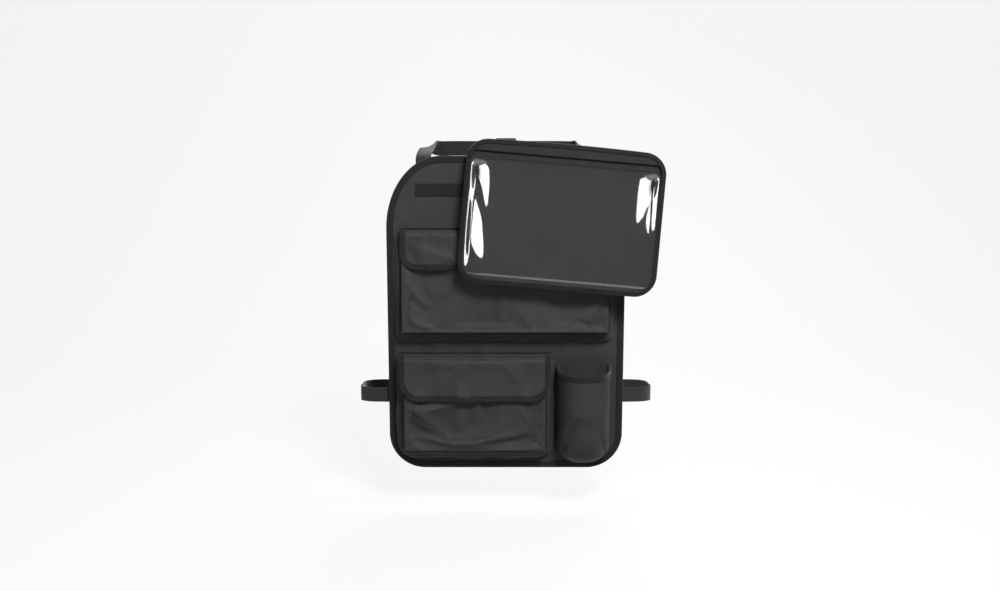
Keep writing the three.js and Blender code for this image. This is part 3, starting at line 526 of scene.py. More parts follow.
class Growth(Wiring):
    """A Geometry Nodes tree in the making."""

    def __init__(self, name: str, base: str, made: str, numbers: Sequence[str], material: str) -> None:
        """Starts the tree with a geometry, some numbers and a material going in.

        Args:
            name: The tree's name.
            base: The name of the geometry that goes in.
            made: The name of the geometry that comes out.
            numbers: The names of the numbers.
            material: The name of the material.
        """
        super().__init__(bpy.data.node_groups.new(name, "GeometryNodeTree"))
        sockets = [(base, "INPUT", "Geometry"), *((number, "INPUT", "Float") for number in numbers),
                   (material, "INPUT", "Material"), (made, "OUTPUT", "Geometry")]
        for label, side, kind in sockets:
            self.tree.interface.new_socket(label, in_out=side, socket_type=f"NodeSocket{kind}")
        self.given = self.tree.nodes.new("NodeGroupInput").outputs
        self.material, self.made = material, made

    def finish(self, shape: Socket) -> bpy.types.GeometryNodeTree:
        """Ends the tree with the shape as real geometry of the given material."""
        real = self.add("GeometryNodeRealizeInstances", {0: shape}).outputs[0]
        dress = {"Geometry": real, "Material": self.given[self.material]}
        self.add("NodeGroupOutput", {self.made: self.add("GeometryNodeSetMaterial", dress).outputs[0]})
        return self.tree


@cache
def rib_tree() -> bpy.types.GeometryNodeTree:
    """Builds the tree that presses grooves between ribs into a band, by its attribute across."""
    tree = Growth("woven ribs", "Band", "Ribbed band", ("Ribs", "Relief"), "Yarn")
    across = tree.add("GeometryNodeInputNamedAttribute", {"Name": "across"}).outputs["Attribute"]
    half_turns = tree.math("MULTIPLY", tree.math("MULTIPLY", across, tree.given["Ribs"]), math.pi)
    groove = tree.math("SUBTRACT", tree.math("ABSOLUTE", tree.math("SINE", half_turns)), 1.0)
    depth = tree.math("MULTIPLY", groove, tree.given["Relief"])
    normal = tree.add("GeometryNodeInputNormal").outputs["Normal"]
    offset = tree.add("ShaderNodeVectorMath", {0: normal, "Scale": depth}, operation="SCALE").outputs[0]
    moved = tree.add("GeometryNodeSetPosition", {"Geometry": tree.given["Band"], "Offset": offset})
    return tree.finish(moved.outputs[0])


@cache
def stitch_tree() -> bpy.types.GeometryNodeTree:
    """Builds the tree that lays a row of stitches along each line."""
    tree = Growth("stitch rows", "Seams", "Stitches", ("Pitch", "Length", "Thickness"), "Thread")
    given = tree.given
    line = tree.add("GeometryNodeMeshToCurve", {"Mesh": given["Seams"]}).outputs[0]
    points = tree.add("GeometryNodeResampleCurve", {"Curve": line, "Length": given["Pitch"]}, mode="LENGTH")
    bead = tree.add("GeometryNodeMeshUVSphere", {"Segments": 6, "Rings": 4, "Radius": 0.5}).outputs[0]
    size = tree.add("ShaderNodeCombineXYZ", {"X": given["Length"], "Y": given["Thickness"],
                                             "Z": given["Thickness"]}).outputs[0]
    way = tree.add("GeometryNodeInputTangent").outputs[0]
    turn = tree.add("FunctionNodeAlignRotationToVector", {"Vector": way}, axis="X").outputs[0]
    copies = tree.add("GeometryNodeInstanceOnPoints", {"Points": points.outputs[0], "Instance": bead,
                                                       "Rotation": turn, "Scale": size})
    return tree.finish(copies.outputs[0])


def grown(base: bpy.types.Object, tree: bpy.types.GeometryNodeTree, **inputs: object) -> bpy.types.Mesh:
    """Runs a tree on an object and gives the result as a plain mesh.

    Args:
        base: The object that the tree starts from. Its modifier is taken off again.
        tree: The tree.
        inputs: A value for each of the tree's inputs, by name.

    Returns:
        The new mesh.
    """
    modifier = base.modifiers.new(tree.name, "NODES")
    modifier.node_group = tree
    for socket in tree.interface.items_tree:
        if socket.in_out == "INPUT" and socket.name in inputs:
            modifier[socket.identifier] = inputs[socket.name]
    graph = bpy.context.evaluated_depsgraph_get()
    mesh = bpy.data.meshes.new_from_object(base.evaluated_get(graph), preserve_all_data_layers=True,
                                           depsgraph=graph)
    base.modifiers.remove(modifier)
    return mesh


def linear(red: float, green: float, blue: float) -> tuple[float, float, float, float]:
    """Turns a colour as a screen shows it into the light that it stands for."""
    light = [c / 12.92 if c <= 0.04045 else ((c + 0.055) / 1.055) ** 2.4 for c in (red, green, blue)]
    return light[0], light[1], light[2], 1.0


class Shading(Wiring):
    """A material's or world's node tree in the making."""

    def __init__(self, owner: bpy.types.Material | bpy.types.World) -> None:
        """Starts from a new material or world, with the shader that it comes with."""
        owner.use_nodes = True
        super().__init__(owner.node_tree)
        self.owner = owner
        self.shader = next(n for n in self.tree.nodes if n.type in ("BSDF_PRINCIPLED", "BACKGROUND"))

    def set(self, **sockets: object) -> None:
        """Joins or sets the shader's own sockets, by their names with underscores for spaces."""
        for name, source in sockets.items():
            self.join(source, self.shader.inputs[name.replace("_", " ")])

    def place(self) -> Socket:
        """Gives the place of each point on the object."""
        return self.add("ShaderNodeTexCoord").outputs["Object"]

    def noise(self, where: Socket, scale: float, detail: float = 3.0, roughness: float = 0.5) -> Socket:
        """Adds a noise, with scale in cells per metre."""
        return self.add("ShaderNodeTexNoise", {"Vector": where, "Scale": scale, "Detail": detail,
                                               "Roughness": roughness}).outputs["Fac"]

    def between(self, value: Socket, low: float, high: float) -> Socket:
        """Spreads a value from 0 to 1 over the range from low to high."""
        return self.add("ShaderNodeMapRange", {"Value": value, "To Min": low, "To Max": high}).outputs[0]

    def bump(self, height: Socket, distance: float, strength: float, under: Socket | None = None) -> Socket:
        """Adds a bump of a height, over another bump if one is given."""
        below = {} if under is None else {"Normal": under}
        return self.add("ShaderNodeBump", {"Height": height, "Distance": distance, "Strength": strength,
                                           **below}).outputs[0]

    def dyed(self, colour: tuple[float, float, float], shade: Socket) -> Socket:
        """Makes a colour darker or lighter by a shade."""
        return self.add("ShaderNodeVectorMath", {0: linear(*colour)[:3], "Scale": shade},
                        operation="SCALE").outputs[0]

    def white_light(self) -> Socket:
        """Gives 1 for rays that the camera, gloss or glass sends out, and 0 for others."""
        ray = self.add("ShaderNodeLightPath").outputs
        gloss = self.math("MAXIMUM", ray["Is Glossy Ray"], ray["Is Transmission Ray"])
        return self.math("MAXIMUM", ray["Is Camera Ray"], gloss)


# Finishes


class Weave(Enum):
    """How a cloth or tape is made."""

    PLAIN = "plain"
    TWILL = "twill"
    RIBBED = "ribbed"
    PILE = "pile"


@dataclass(frozen=True)
class Woven:
    """A woven finish. Its yarns follow the piece's own UV map, which is in metres."""

    name: str
    colour: tuple[float, float, float]
    weave: Weave
    yarn: float
    relief: float
    roughness: float
    sheen: float
    blotches: float = 0.18
    slubs: float = 0.25
    slot: str = "polyester_cloth"

    def pattern(self, shading: Shading) -> Socket:
        """Gives the height of the yarns, from 0 to 1.

        Args:
            shading: The material in the making.

        Returns:
            The socket that holds the height.
        """
        uv = shading.add("ShaderNodeUVMap", uv_map="cut").outputs["UV"]
        if self.weave is Weave.PILE:
            return shading.noise(uv, 1.0 / self.yarn, 4.0, 0.75)
        sides = shading.add("ShaderNodeSeparateXYZ", {0: uv}).outputs
        along, across = (shading.math("MULTIPLY", sides[k], math.pi / self.yarn) for k in ("X", "Y"))

        def wave(value: Socket) -> Socket:
            """Gives the rounded tops of yarns side by side."""
            return shading.math("ABSOLUTE", shading.math("SINE", value))

        if self.weave is Weave.RIBBED:
            picks = wave(shading.math("MULTIPLY", along, 1.7))
            return shading.math("MULTIPLY", wave(across), shading.math("MULTIPLY_ADD", picks, 0.35, 0.5))
        if self.weave is Weave.TWILL:
            return wave(shading.math("ADD", along, across))
        over = shading.math("MULTIPLY", shading.math("SINE", along), shading.math("SINE", across))
        return shading.add("ShaderNodeMix", {"Factor": shading.math("GREATER_THAN", over, 0.0),
                                             "A": wave(along), "B": wave(across)},
                           data_type="FLOAT").outputs["Result"]

    def material(self) -> bpy.types.Material:
        """Makes the material: yarns, uneven dye, paler worn ridges and painted shade in the hollows."""
        shading = Shading(bpy.data.materials.new(self.name))
        place, yarns = shading.place(), self.pattern(shading)
        # The fold attribute makes worn ridges paler and paints shade into the hollows.
        tone_shift = shading.add("ShaderNodeAttribute", attribute_name="fold").outputs["Fac"]
        shade = shading.between(yarns, 0.72, 1.2)
        for factor, low, high in (
            (shading.noise(place, 26.0, 4.0, 0.6), 1 - self.blotches, 1 + self.blotches),
            (shading.noise(place, 900.0, 2.0, 0.6), 1 - self.slubs, 1 + self.slubs),
            (tone_shift, 0.55, 1.45),
        ):
            shade = shading.math("MULTIPLY", shade, shading.between(factor, low, high))
        rough = shading.between(shading.noise(place, 60.0), self.roughness - 0.06, self.roughness + 0.06)
        soft = shading.bump(shading.noise(place, 70.0), 0.8 * MM, 0.3)
        shading.set(Base_Color=shading.dyed(self.colour, shade), Roughness=rough,
                    Normal=shading.bump(yarns, self.relief, 0.8, soft),
                    Sheen_Weight=self.sheen, Sheen_Roughness=0.45, Specular_IOR_Level=0.05)
        return shading.owner


@dataclass(frozen=True)
class ClearFilm:
    """Clear soft vinyl: glossy, faintly grey and a little wavy."""

    name: str = "clear film"
    slot: str = "clear_film"

    def material(self) -> bpy.types.Material:
        """Makes the material."""
        shading = Shading(bpy.data.materials.new(self.name))
        place = shading.place()
        shading.set(Base_Color=(0.97, 0.98, 0.99, 1), IOR=1.55, Transmission_Weight=1.0, Coat_Weight=1.0,
                    Coat_IOR=1.5, Coat_Roughness=0.03,
                    Roughness=shading.between(shading.noise(place, 70.0), 0.01, 0.04),
                    Normal=shading.bump(shading.noise(place, 24.0, 2.0), 1.2 * MM, 0.25))
        return shading.owner


@dataclass(frozen=True)
class MouldedPlastic:
    """Moulded acetal with a fine matt grain."""

    name: str = "moulded plastic"
    slot: str = "adjuster_plastic"
    colour: tuple[float, float, float] = (0.10, 0.10, 0.105)

    def material(self) -> bpy.types.Material:
        """Makes the material."""
        shading = Shading(bpy.data.materials.new(self.name))
        place = shading.place()
        tone_shift = shading.between(shading.noise(place, 90.0, 4.0), 0.85, 1.25)
        shading.set(Base_Color=shading.dyed(self.colour, tone_shift),
                    Roughness=shading.between(shading.noise(place, 160.0), 0.36, 0.52),
                    Normal=shading.bump(shading.noise(place, 2600.0, 2.0), 0.04 * MM, 0.5))
        return shading.owner


@dataclass(frozen=True)
class StudioPaper:
    """White studio paper, which the camera, gloss and glass see a good part of the way to pure white."""

    name: str = "studio paper"
    colour: tuple[float, float, float] = (0.74, 0.74, 0.74)
    whitening: float = 0.85

    def material(self) -> bpy.types.Material:
        """Makes the material."""
        shading = Shading(bpy.data.materials.new(self.name))
        shading.set(Base_Color=linear(*self.colour), Roughness=0.95)
        seen = shading.white_light()
        white = shading.add("ShaderNodeEmission", {"Strength": seen}).outputs[0]
        both = shading.add("ShaderNodeMixShader", {0: shading.math("MULTIPLY", seen, self.whitening),
                                                   1: shading.shader.outputs[0], 2: white}).outputs[0]
        ending = next(n for n in shading.tree.nodes if n.type == "OUTPUT_MATERIAL")
        shading.join(both, ending.inputs["Surface"])
        return shading.owner


Finish = Woven | ClearFilm | MouldedPlastic | StudioPaper

POLYESTER = Woven("polyester cloth", (0.172, 0.17, 0.174), Weave.PLAIN, 0.62 * MM, 0.05 * MM, 0.55, 0.02)
LINING = Woven("case lining", (0.13, 0.13, 0.134), Weave.PLAIN, 0.5 * MM, 0.04 * MM, 0.75, 0.1, 0.1)
EDGE_TAPE = Woven("edge tape", (0.095, 0.094, 0.097), Weave.TWILL, 0.8 * MM, 0.1 * MM, 0.65, 0.12,
                  slot="edge_binding")
LOOP_TAPE = Woven("loop tape", (0.10, 0.10, 0.105), Weave.PILE, 1.1 * MM, 0.5 * MM, 0.95, 0.3,
                  slot="loop_tape")
HOOK_TAPE = Woven("hook tape", (0.12, 0.12, 0.125), Weave.PILE, 0.7 * MM, 0.4 * MM, 0.7, 0.1,
                  slot="hook_tape")
WEBBING = Woven("webbing", (0.12, 0.12, 0.125), Weave.TWILL, 1.3 * MM, 0.3 * MM, 0.6, 0.2, slot="webbing")
ELASTIC = Woven("elastic", (0.16, 0.16, 0.16), Weave.RIBBED, 1.6 * MM, 0.25 * MM, 0.7, 0.2, slot="elastic")
THREAD = Woven("thread", (0.17, 0.17, 0.175), Weave.PILE, 0.4 * MM, 0.1 * MM, 0.6, 0.1)
# Near-black cord, sewn into the pockets' creases and along the flap roots as painted shadow lines.
SHADOW_CORD_THREAD = Woven("dark thread", (0.05, 0.05, 0.052), Weave.PILE, 0.4 * MM, 0.1 * MM, 0.8, 0.0)
FILM = ClearFilm()
PLASTIC = MouldedPlastic()


@cache
def material_of(finish: Finish) -> bpy.types.Material:
    """Makes a finish's material once."""
    return finish.material()


# Making pieces


@dataclass(frozen=True)
class Stitching:
    """The size of a row of stitches."""

    pitch: float = 3.4 * MM
    length: float = 2.7 * MM
    thickness: float = 0.55 * MM
    thread: Woven = THREAD


@dataclass(frozen=True)
class Ribs:
    """Ribs woven along a band: how many there are across it, and how deep the grooves are."""

    count: float
    relief: float


def put(name: str, data: bpy.types.ID) -> bpy.types.Object:
    """Adds an object to the scene."""
    made = bpy.data.objects.new(name, data)
    bpy.context.scene.collection.objects.link(made)
    return made


def mesh_of(name: str, points: Places, edges: Sequence[Sequence[int]],
            faces: Sequence[Sequence[int]]) -> bpy.types.Mesh:
    """Makes a mesh from places in the frame."""
    mesh = bpy.data.meshes.new(name)
    mesh.from_pydata(points.reshape(-1, 3).tolist(), edges, faces)
    return mesh


def values_of(items: bpy.types.bpy_prop_collection, name: str, width: int, kind: type = float) -> np.ndarray:
    """Reads a property of each item of a mesh, one row for each item."""
    values = np.zeros(len(items) * width, dtype=kind)
    items.foreach_get(name, values)
    return values.reshape(-1, width)


class Seams:
    """Collects seam lines and sews them with a row of stitches each."""

    def __init__(self, name: str) -> None:
        """Starts with no seam."""
        self.name = name
        self.lines: list[tuple[Places, bool]] = []

    def add(self, places: Places, closed: bool = False) -> None:
        """Adds a line of layout places, which may close on itself."""
        self.lines.append((to_frame(places), closed))

    def sew(self, sewing: Stitching = Stitching()) -> None:
        """Makes one piece of all the stitches, riding on the root body.

        Args:
            sewing: The size of the stitches and their thread.
        """
        edges, first = [], 0
        for places, closed in self.lines:
            last = first + len(places) - 1
            edges += [[i, i + 1] for i in range(first, last)] + [[last, first]] * closed
            first = last + 1
        points = np.concatenate([places for places, _ in self.lines])
        line = put(self.name + "_line", mesh_of(self.name + "_line", points, edges, []))
        sewn = grown(line, stitch_tree(), Pitch=sewing.pitch, Length=sewing.length,
                     Thickness=sewing.thickness, Thread=material_of(sewing.thread))
        bpy.data.objects.remove(line)
        sewn.shade_smooth()
        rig.ride(put(self.name, sewn), ROOT)
        log.info("%s: %d seams, %d faces", self.name, len(self.lines), len(sewn.polygons))


def mark_fold_wear_and_shade(mesh: bpy.types.Mesh) -> None:
    """Writes to the attribute fold how far each point stands out: 1 on a ridge, 0 in a hollow. Woven colours read it
    as paler wear on ridges and painted shade in hollows.

    Args:
        mesh: The finished mesh.
    """
    points, normals = values_of(mesh.vertices, "co", 3), values_of(mesh.vertex_normals, "vector", 3)
    edges = values_of(mesh.edges, "vertices", 2, np.int64)
    total, near = np.zeros_like(points), np.zeros(len(points))
    for a, b in ((0, 1), (1, 0)):
        np.add.at(total, edges[:, a], points[edges[:, b]])
        np.add.at(near, edges[:, a], 1)
    out = points - total / np.maximum(near, 1)[:, None]
    reach = np.maximum(np.linalg.norm(points[edges[:, 0]] - points[edges[:, 1]], axis=1).mean(), 1e-9)
    ridge = np.clip(0.5 + 1.6 * (out * normals).sum(axis=1) / reach, 0, 1)
    mesh.attributes.new("fold", "FLOAT", "POINT").data.foreach_set("value", ridge.astype(np.float32))


def faces_inwards(mesh: bpy.types.Mesh) -> bool:
    """Says whether a closed mesh's faces point inwards."""
    solid = bmesh.new()
    solid.from_mesh(mesh)
    volume = solid.calc_volume(signed=True)
    solid.free()
    return volume < 0


def add_piece(name: str, points: Places, faces: np.ndarray, corners: np.ndarray, finish: Finish, node: str,
              ends: Sequence[Sequence[int]] = (), end_corners: Sequence[np.ndarray] = (),
              across: np.ndarray | None = None, ribs: Ribs | None = None) -> bpy.types.Object:
    """Makes a finished piece from layout points and four-cornered faces.

    Args:
        name: The piece's name.
        points: The layout places of the points.
        faces: The indices of each face's four points.
        corners: The place of each corner on the flat cut, in metres.
        finish: What the piece is made of.
        node: The frame's node that the piece stands for.
        ends: Faces of more points, such as the ends of a tape.
        end_corners: The same as corners, for those faces.
        across: Each point's place across a ribbed band, from 0 to 1.
        ribs: The band's ribs.

    Returns:
        The piece, riding on the root body.
    """
    mesh = mesh_of(name, to_frame(points), [], [*faces.tolist(), *ends])
    flat = np.concatenate([corners.reshape(-1, 2), *end_corners])
    mesh.uv_layers.new(name="cut").data.foreach_set("uv", flat.astype(np.float32).ravel())
    if faces_inwards(mesh):
        mesh.flip_normals()
    mesh.shade_smooth()
    mesh.set_sharp_from_angle(angle=math.radians(50))
    mesh.materials.append(material_of(finish))
    piece = put(name, mesh)
    if ribs is not None:
        mesh.attributes.new("across", "FLOAT", "POINT").data.foreach_set("value", across)
        mesh = grown(piece, rib_tree(), Ribs=ribs.count, Relief=ribs.relief, Yarn=material_of(finish))
        piece.data = mesh
    mark_fold_wear_and_shade(mesh)
    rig.ride(piece, ROOT)
    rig.replaces(piece, node)
    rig.slot(piece, finish.slot)
    log.info("%s: %d faces", name, len(mesh.polygons))
    return piece


def grid_faces(rows: int, columns: int) -> np.ndarray:
    """Gives the four points round each cell of a grid, by their indices."""
    index = np.arange(rows * columns).reshape(rows, columns)
    return together(index[:-1, :-1], index[:-1, 1:], index[1:, 1:], index[1:, :-1]).reshape(-1, 4)


def add_sheet(name: str, outer: Places, inner: Places, finish: Finish, node: str,
              cut: np.ndarray | None = None) -> bpy.types.Object:
    """Makes the closed piece between an outer and an inner face.

    Args:
        name: The piece's name.
        outer: Layout places of the outer face, by row and column.
        inner: Layout places of the inner face, by row and column.
        finish: What the piece is made of.
        node: The frame's node that it stands for.
        cut: The place of each point on the flat cut, or none to take the outer face's x and y.

    Returns:
        The piece.
    """
    rows, columns = outer.shape[:2]
    cut = outer[..., :2] if cut is None else cut
    index = np.arange(rows * columns).reshape(rows, columns)
    front = grid_faces(rows, columns)
    rim = np.concatenate([index[0, :-1], index[:-1, -1], index[-1, :0:-1], index[:0:-1, 0]])
    after, behind = np.roll(rim, -1), rows * columns
    edge = together(rim, rim + behind, after + behind, after)
    faces = np.concatenate([front, front[:, ::-1] + behind, edge])
    points = np.concatenate([outer.reshape(-1, 3), inner.reshape(-1, 3)])
    return add_piece(name, points, faces, np.concatenate([cut.reshape(-1, 2)] * 2)[faces], finish, node)


def add_band(name: str, rings: Places, finish: Finish, node: str, closed: bool = False,
             **woven: object) -> bpy.types.Object:
    """Makes the piece that a closed section sweeps along a path.

    Args:
        name: The piece's name.
        rings: Layout places of the section's points, one ring for each station.
        finish: What the piece is made of.
        node: The frame's node that it stands for.
        closed: Whether the last ring joins the first.
        woven: The band's ribs, as add_piece takes them.

    Returns:
        The piece.
    """
    count, around = rings.shape[:2]
    index = np.arange(count * around).reshape(count, around)
    middle = rings.mean(axis=1)
    u = run_of(np.concatenate([middle, middle[:closed]]))
    links = len(u) - 1
    here, there = index[:links], np.roll(index, -1, axis=0)[:links]
    faces = together(here, np.roll(here, -1, 1), np.roll(there, -1, 1), there).reshape(-1, 4)
    widths = np.linalg.norm(np.roll(rings, -1, 1) - rings, axis=2).mean(axis=0)
    v = np.concatenate([[0], np.cumsum(widths)])
    row, column = np.meshgrid(np.arange(links), np.arange(around), indexing="ij")
    corners = np.stack([together(u[row + i], v[column + j]) for i, j in ((0, 0), (0, 1), (1, 1), (1, 0))], -2)
    if closed:
        return add_piece(name, rings, faces, corners, finish, node, **woven)
    return add_piece(name, rings, faces, corners, finish, node, [index[0][::-1].tolist(), index[-1].tolist()],
                     [together(0.0, v[:-1])] * 2, **woven)


def cut_cloth(name: str, drape: Drape, pattern: Pattern, step: float, node: str,
              hem: bool = False) -> bpy.types.Object:
    """Makes a piece of polyester cut to a pattern and laid on a drape, with its outer face at height 0."""
    x, y = pattern.grid(step, hem)
    return add_sheet(name, drape(x, y), drape(x, y, -CLOTH), POLYESTER, node, together(x, y))


def laid_area(places: Places) -> float:
    """Gives the area of a grid of places."""
    a = places[1:, :-1] - places[:-1, :-1]
    b = places[:-1, 1:] - places[:-1, :-1]
    return float(np.linalg.norm(np.cross(a, b), axis=2).sum())


def cut_size(drape: Drape, pattern: Pattern, step: float) -> dict[str, object]:
    """Gives the flat size and area that a cut needs to lie on its drape without stretching.

    Args:
        drape: The cloth's drape.
        pattern: Its pattern, as the drape spreads it.
        step: The distance between the points that are measured.
    """
    grow = math.sqrt(laid_area(drape(*pattern.grid(step))) / pattern.area)
    return {"flat": (pattern.flat[0] * grow, pattern.flat[1] * grow), "area": pattern.area * grow**2}


def tape_section(width: float, thickness: float, across: int) -> np.ndarray:
    """Gives the section of a flat tape with rounded edges.

    Args:
        width: The tape's width.
        thickness: The tape's thickness.
        across: How many steps each flat side has.

    Returns:
        Offsets along the width and along the thickness, in a ring.
    """
    half, deep = width / 2, thickness / 2
    soft = deep * 0.9
    turns = np.linspace(-math.pi / 2, math.pi / 2, 7)
    right = together(half - soft + soft * np.cos(turns), deep * np.sin(turns))
    top = together(np.linspace(half - soft, -half + soft, across + 1)[1:-1], deep)
    ring = np.concatenate([right, top])
    return np.concatenate([ring, -ring])


def fold_section(width: float, wall: float, back: float, front: float) -> np.ndarray:
    """Gives the section of an edge tape folded over a cloth's edge.

    Args:
        width: How far the tape reaches onto the cloth.
        wall: The tape's thickness.
        back: Height of the tape's inner side behind the cloth.
        front: Height of the tape's inner side before the cloth.

    Returns:
        Insets from the cloth's edge and heights, in a ring.
    """
    low, high = back - wall, front + wall
    middle, half = (low + high) / 2, (high - low) / 2
    nose, hem, soft = half * 0.7, 1.6 * MM, wall * 0.3
    turns = np.linspace(math.pi / 2, 1.5 * math.pi, 9)
    outer = together(nose - SEAM_GAP - wall + nose * np.cos(turns), middle + half * np.sin(turns))
    leg = [(width - wall * 0.5, 0), (width - hem, 0), (width - 2.2 * hem, soft), (width / 2, soft * 0.4)]
    inner = [(width, low + wall * 0.5), (width - wall * 0.4, back), (width / 2, back), (-SEAM_GAP, back),
             (-SEAM_GAP, front), (width / 2, front), (width - wall * 0.4, front), (width, high - wall * 0.5)]
    return np.concatenate([[(x, high - dent) for x, dent in leg], outer,
                           [(x, low + dent) for x, dent in reversed(leg)], inner])


def bind_edge(name: str, drape: Drape, stations: Stations, seams: Seams, node: str,
              seed: int = 3) -> bpy.types.Object:
    """Sews edge tape over a cloth's edge.

    Args:
        name: The piece's name.
        drape: The cloth's drape.
        stations: The cloth's edge on its pattern.
        seams: Takes the tape's row of stitches on both sides.
        node: The frame's node that it stands for.
        seed: Chooses the tape's small unevenness.

    Returns:
        The piece.
    """
    section = fold_section(BINDING, TAPE_WALL, -CLOTH - SEAM_GAP, SEAM_GAP)
    x, y = stations.at(section[:, 0])
    wander = ripples(x, y, 26 * MM, seed) * 0.35 * MM * np.clip(section[:, 0] / BINDING, 0, 1)
    x, y = x + stations.in_x[:, None] * wander, y + stations.in_y[:, None] * wander
    for height in (LAYER, -CLOTH - LAYER):
        seams.add(stations.line(drape, BINDING - STITCH_INSET, height))
    return add_band(name, drape(x, y, np.broadcast_to(section[:, 1], x.shape)), EDGE_TAPE, node)


def fastening_tape(name: str, drape: Drape, area: Pattern, finish: Woven, node: str) -> bpy.types.Object:
    """Makes a strip of loop tape on a cloth's face, or of hook tape behind it.

    Args:
        name: The piece's name.
        drape: The cloth's drape.
        area: The strip's place on the cloth's pattern.
        finish: Loop or hook tape.
        node: The frame's node that it stands for.

    Returns:
        The piece.
    """
    faces_out = finish is LOOP_TAPE
    low = SEAM_GAP if faces_out else -CLOTH - SEAM_GAP
    high = low + (FASTENING if faces_out else -FASTENING)
    x, y = area.grid(1.6 * MM)
    side = np.minimum(np.minimum(x - area.left, area.right - x), np.minimum(y - area.bottom, area.top - y))
    pile = ease(side, 0.8 * MM, 2.4 * MM)
    fuzz = pile * 0.22 * MM * ripples(x, y, 5 * MM, 11, 9)
    outer = high - (1 - pile) * 0.4 * MM + np.minimum(fuzz, 0.2 * MM)
    top, bottom = (outer, low) if faces_out else (low, outer)
    return add_sheet(name, drape(x, y, top), drape(x, y, bottom), finish, node, together(x, y))


# Cloth simulation


@dataclass(frozen=True)
class Settling:
    """How a sewn cloth settles: its slack, the air behind it and how far a point may move."""

    slack: float
    gravity: float
    limit: float
    bending: float
    pressure: float = 0.0
    frames: int = 16
    step: float = 4 * MM


def spline(t: np.ndarray) -> tuple[np.ndarray, ...]:
    """Gives the weights of the four nearest values of an even cubic spline, a share t into a step."""
    return (1 - t) ** 3 / 6, (3 * t**3 - 6 * t**2 + 4) / 6, (1 + 3 * t + 3 * t**2 - 3 * t**3) / 6, t**3 / 6


def spread_over(values: np.ndarray, pattern: Pattern) -> Surface:
    """Turns values on a pattern's even grid into a smooth function of pattern points.

    Args:
        values: One value for each grid point, by row and column, with its parts last.
        pattern: The rectangle that the grid covers.

    Returns:
        A function of x and y that holds its edge values outside the rectangle.
    """
    rows, columns = values.shape[:2]

    def at(x: np.ndarray, y: np.ndarray) -> np.ndarray:
        """Gives the value at pattern points."""
        across = np.clip((x - pattern.left) / pattern.flat[0], 0, 1) * (columns - 1)
        up = np.clip((y - pattern.bottom) / pattern.flat[1], 0, 1) * (rows - 1)
        j, i = np.minimum(across.astype(int), columns - 2), np.minimum(up.astype(int), rows - 2)
        total = np.zeros((*np.shape(across), values.shape[2]))
        for k, high in enumerate(spline(up - i)):
            row = np.clip(i + k - 1, 0, rows - 1)
            for m, wide in enumerate(spline(across - j)):
                total += (high * wide)[..., None] * values[row, np.clip(j + m - 1, 0, columns - 1)]
        return total

    return at


def settle(name: str, surface: Surface, pattern: Pattern, held: Surface, how: Settling) -> Drape:
    """Lets cloth settle between its seams in a cloth simulation, and gives the settled drape.

    Args:
        name: A name for the log.
        surface: The cloth's shape as it is sewn.
        pattern: The cloth's cut.
        held: Says from 0 to 1 how firmly each pattern point is held by its seams.
        how: The simulation's settings.
    """
    drape = Drape(surface)
    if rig.quick():
        return drape
    whole = replace(pattern, radius=0.0, cap=math.inf)
    x, y = whole.grid(how.step)
    places = to_frame(drape(x, y))
    cloth = put(name, mesh_of(name, places, [], grid_faces(*x.shape).tolist()))
    seams = cloth.vertex_groups.new(name="seams")
    for point, weight in enumerate(np.clip(held(x, y), 0, 1).ravel()):
        seams.add([point], float(weight), "REPLACE")
    modifier = cloth.modifiers.new("cloth", "CLOTH")
    settings = modifier.settings
    for option, value in (
        ("quality", 6), ("mass", 0.25), ("vertex_group_mass", "seams"), ("shrink_min", -how.slack),
        ("tension_stiffness", 25), ("compression_stiffness", 25), ("shear_stiffness", 12),
        ("bending_stiffness", how.bending), ("air_damping", 2), ("use_pressure", how.pressure > 0),
        ("uniform_pressure_force", how.pressure),
    ):
        setattr(settings, option, value)
    settings.effector_weights.gravity = how.gravity
    modifier.point_cache.frame_end = how.frames
    for step in range(1, how.frames + 1):
        bpy.context.scene.frame_set(step)
    graph = bpy.context.evaluated_depsgraph_get()
    moved = values_of(cloth.evaluated_get(graph).data.vertices, "co", 3)
    bpy.context.scene.frame_set(1)
    bpy.data.objects.remove(cloth)
    shift = moved.reshape(places.shape) - places
    length = np.linalg.norm(shift, axis=-1, keepdims=True)
    shift *= np.minimum(1, how.limit / np.maximum(length, 1e-9))
    log.info("%s settled: up to %.1f mm", name, length.max() / MM)
    moves = spread_over(together(shift[..., 0], shift[..., 2], -shift[..., 1]), whole)
    return Drape(lambda u, v: surface(u, v) + moves(u, v))


# The panel


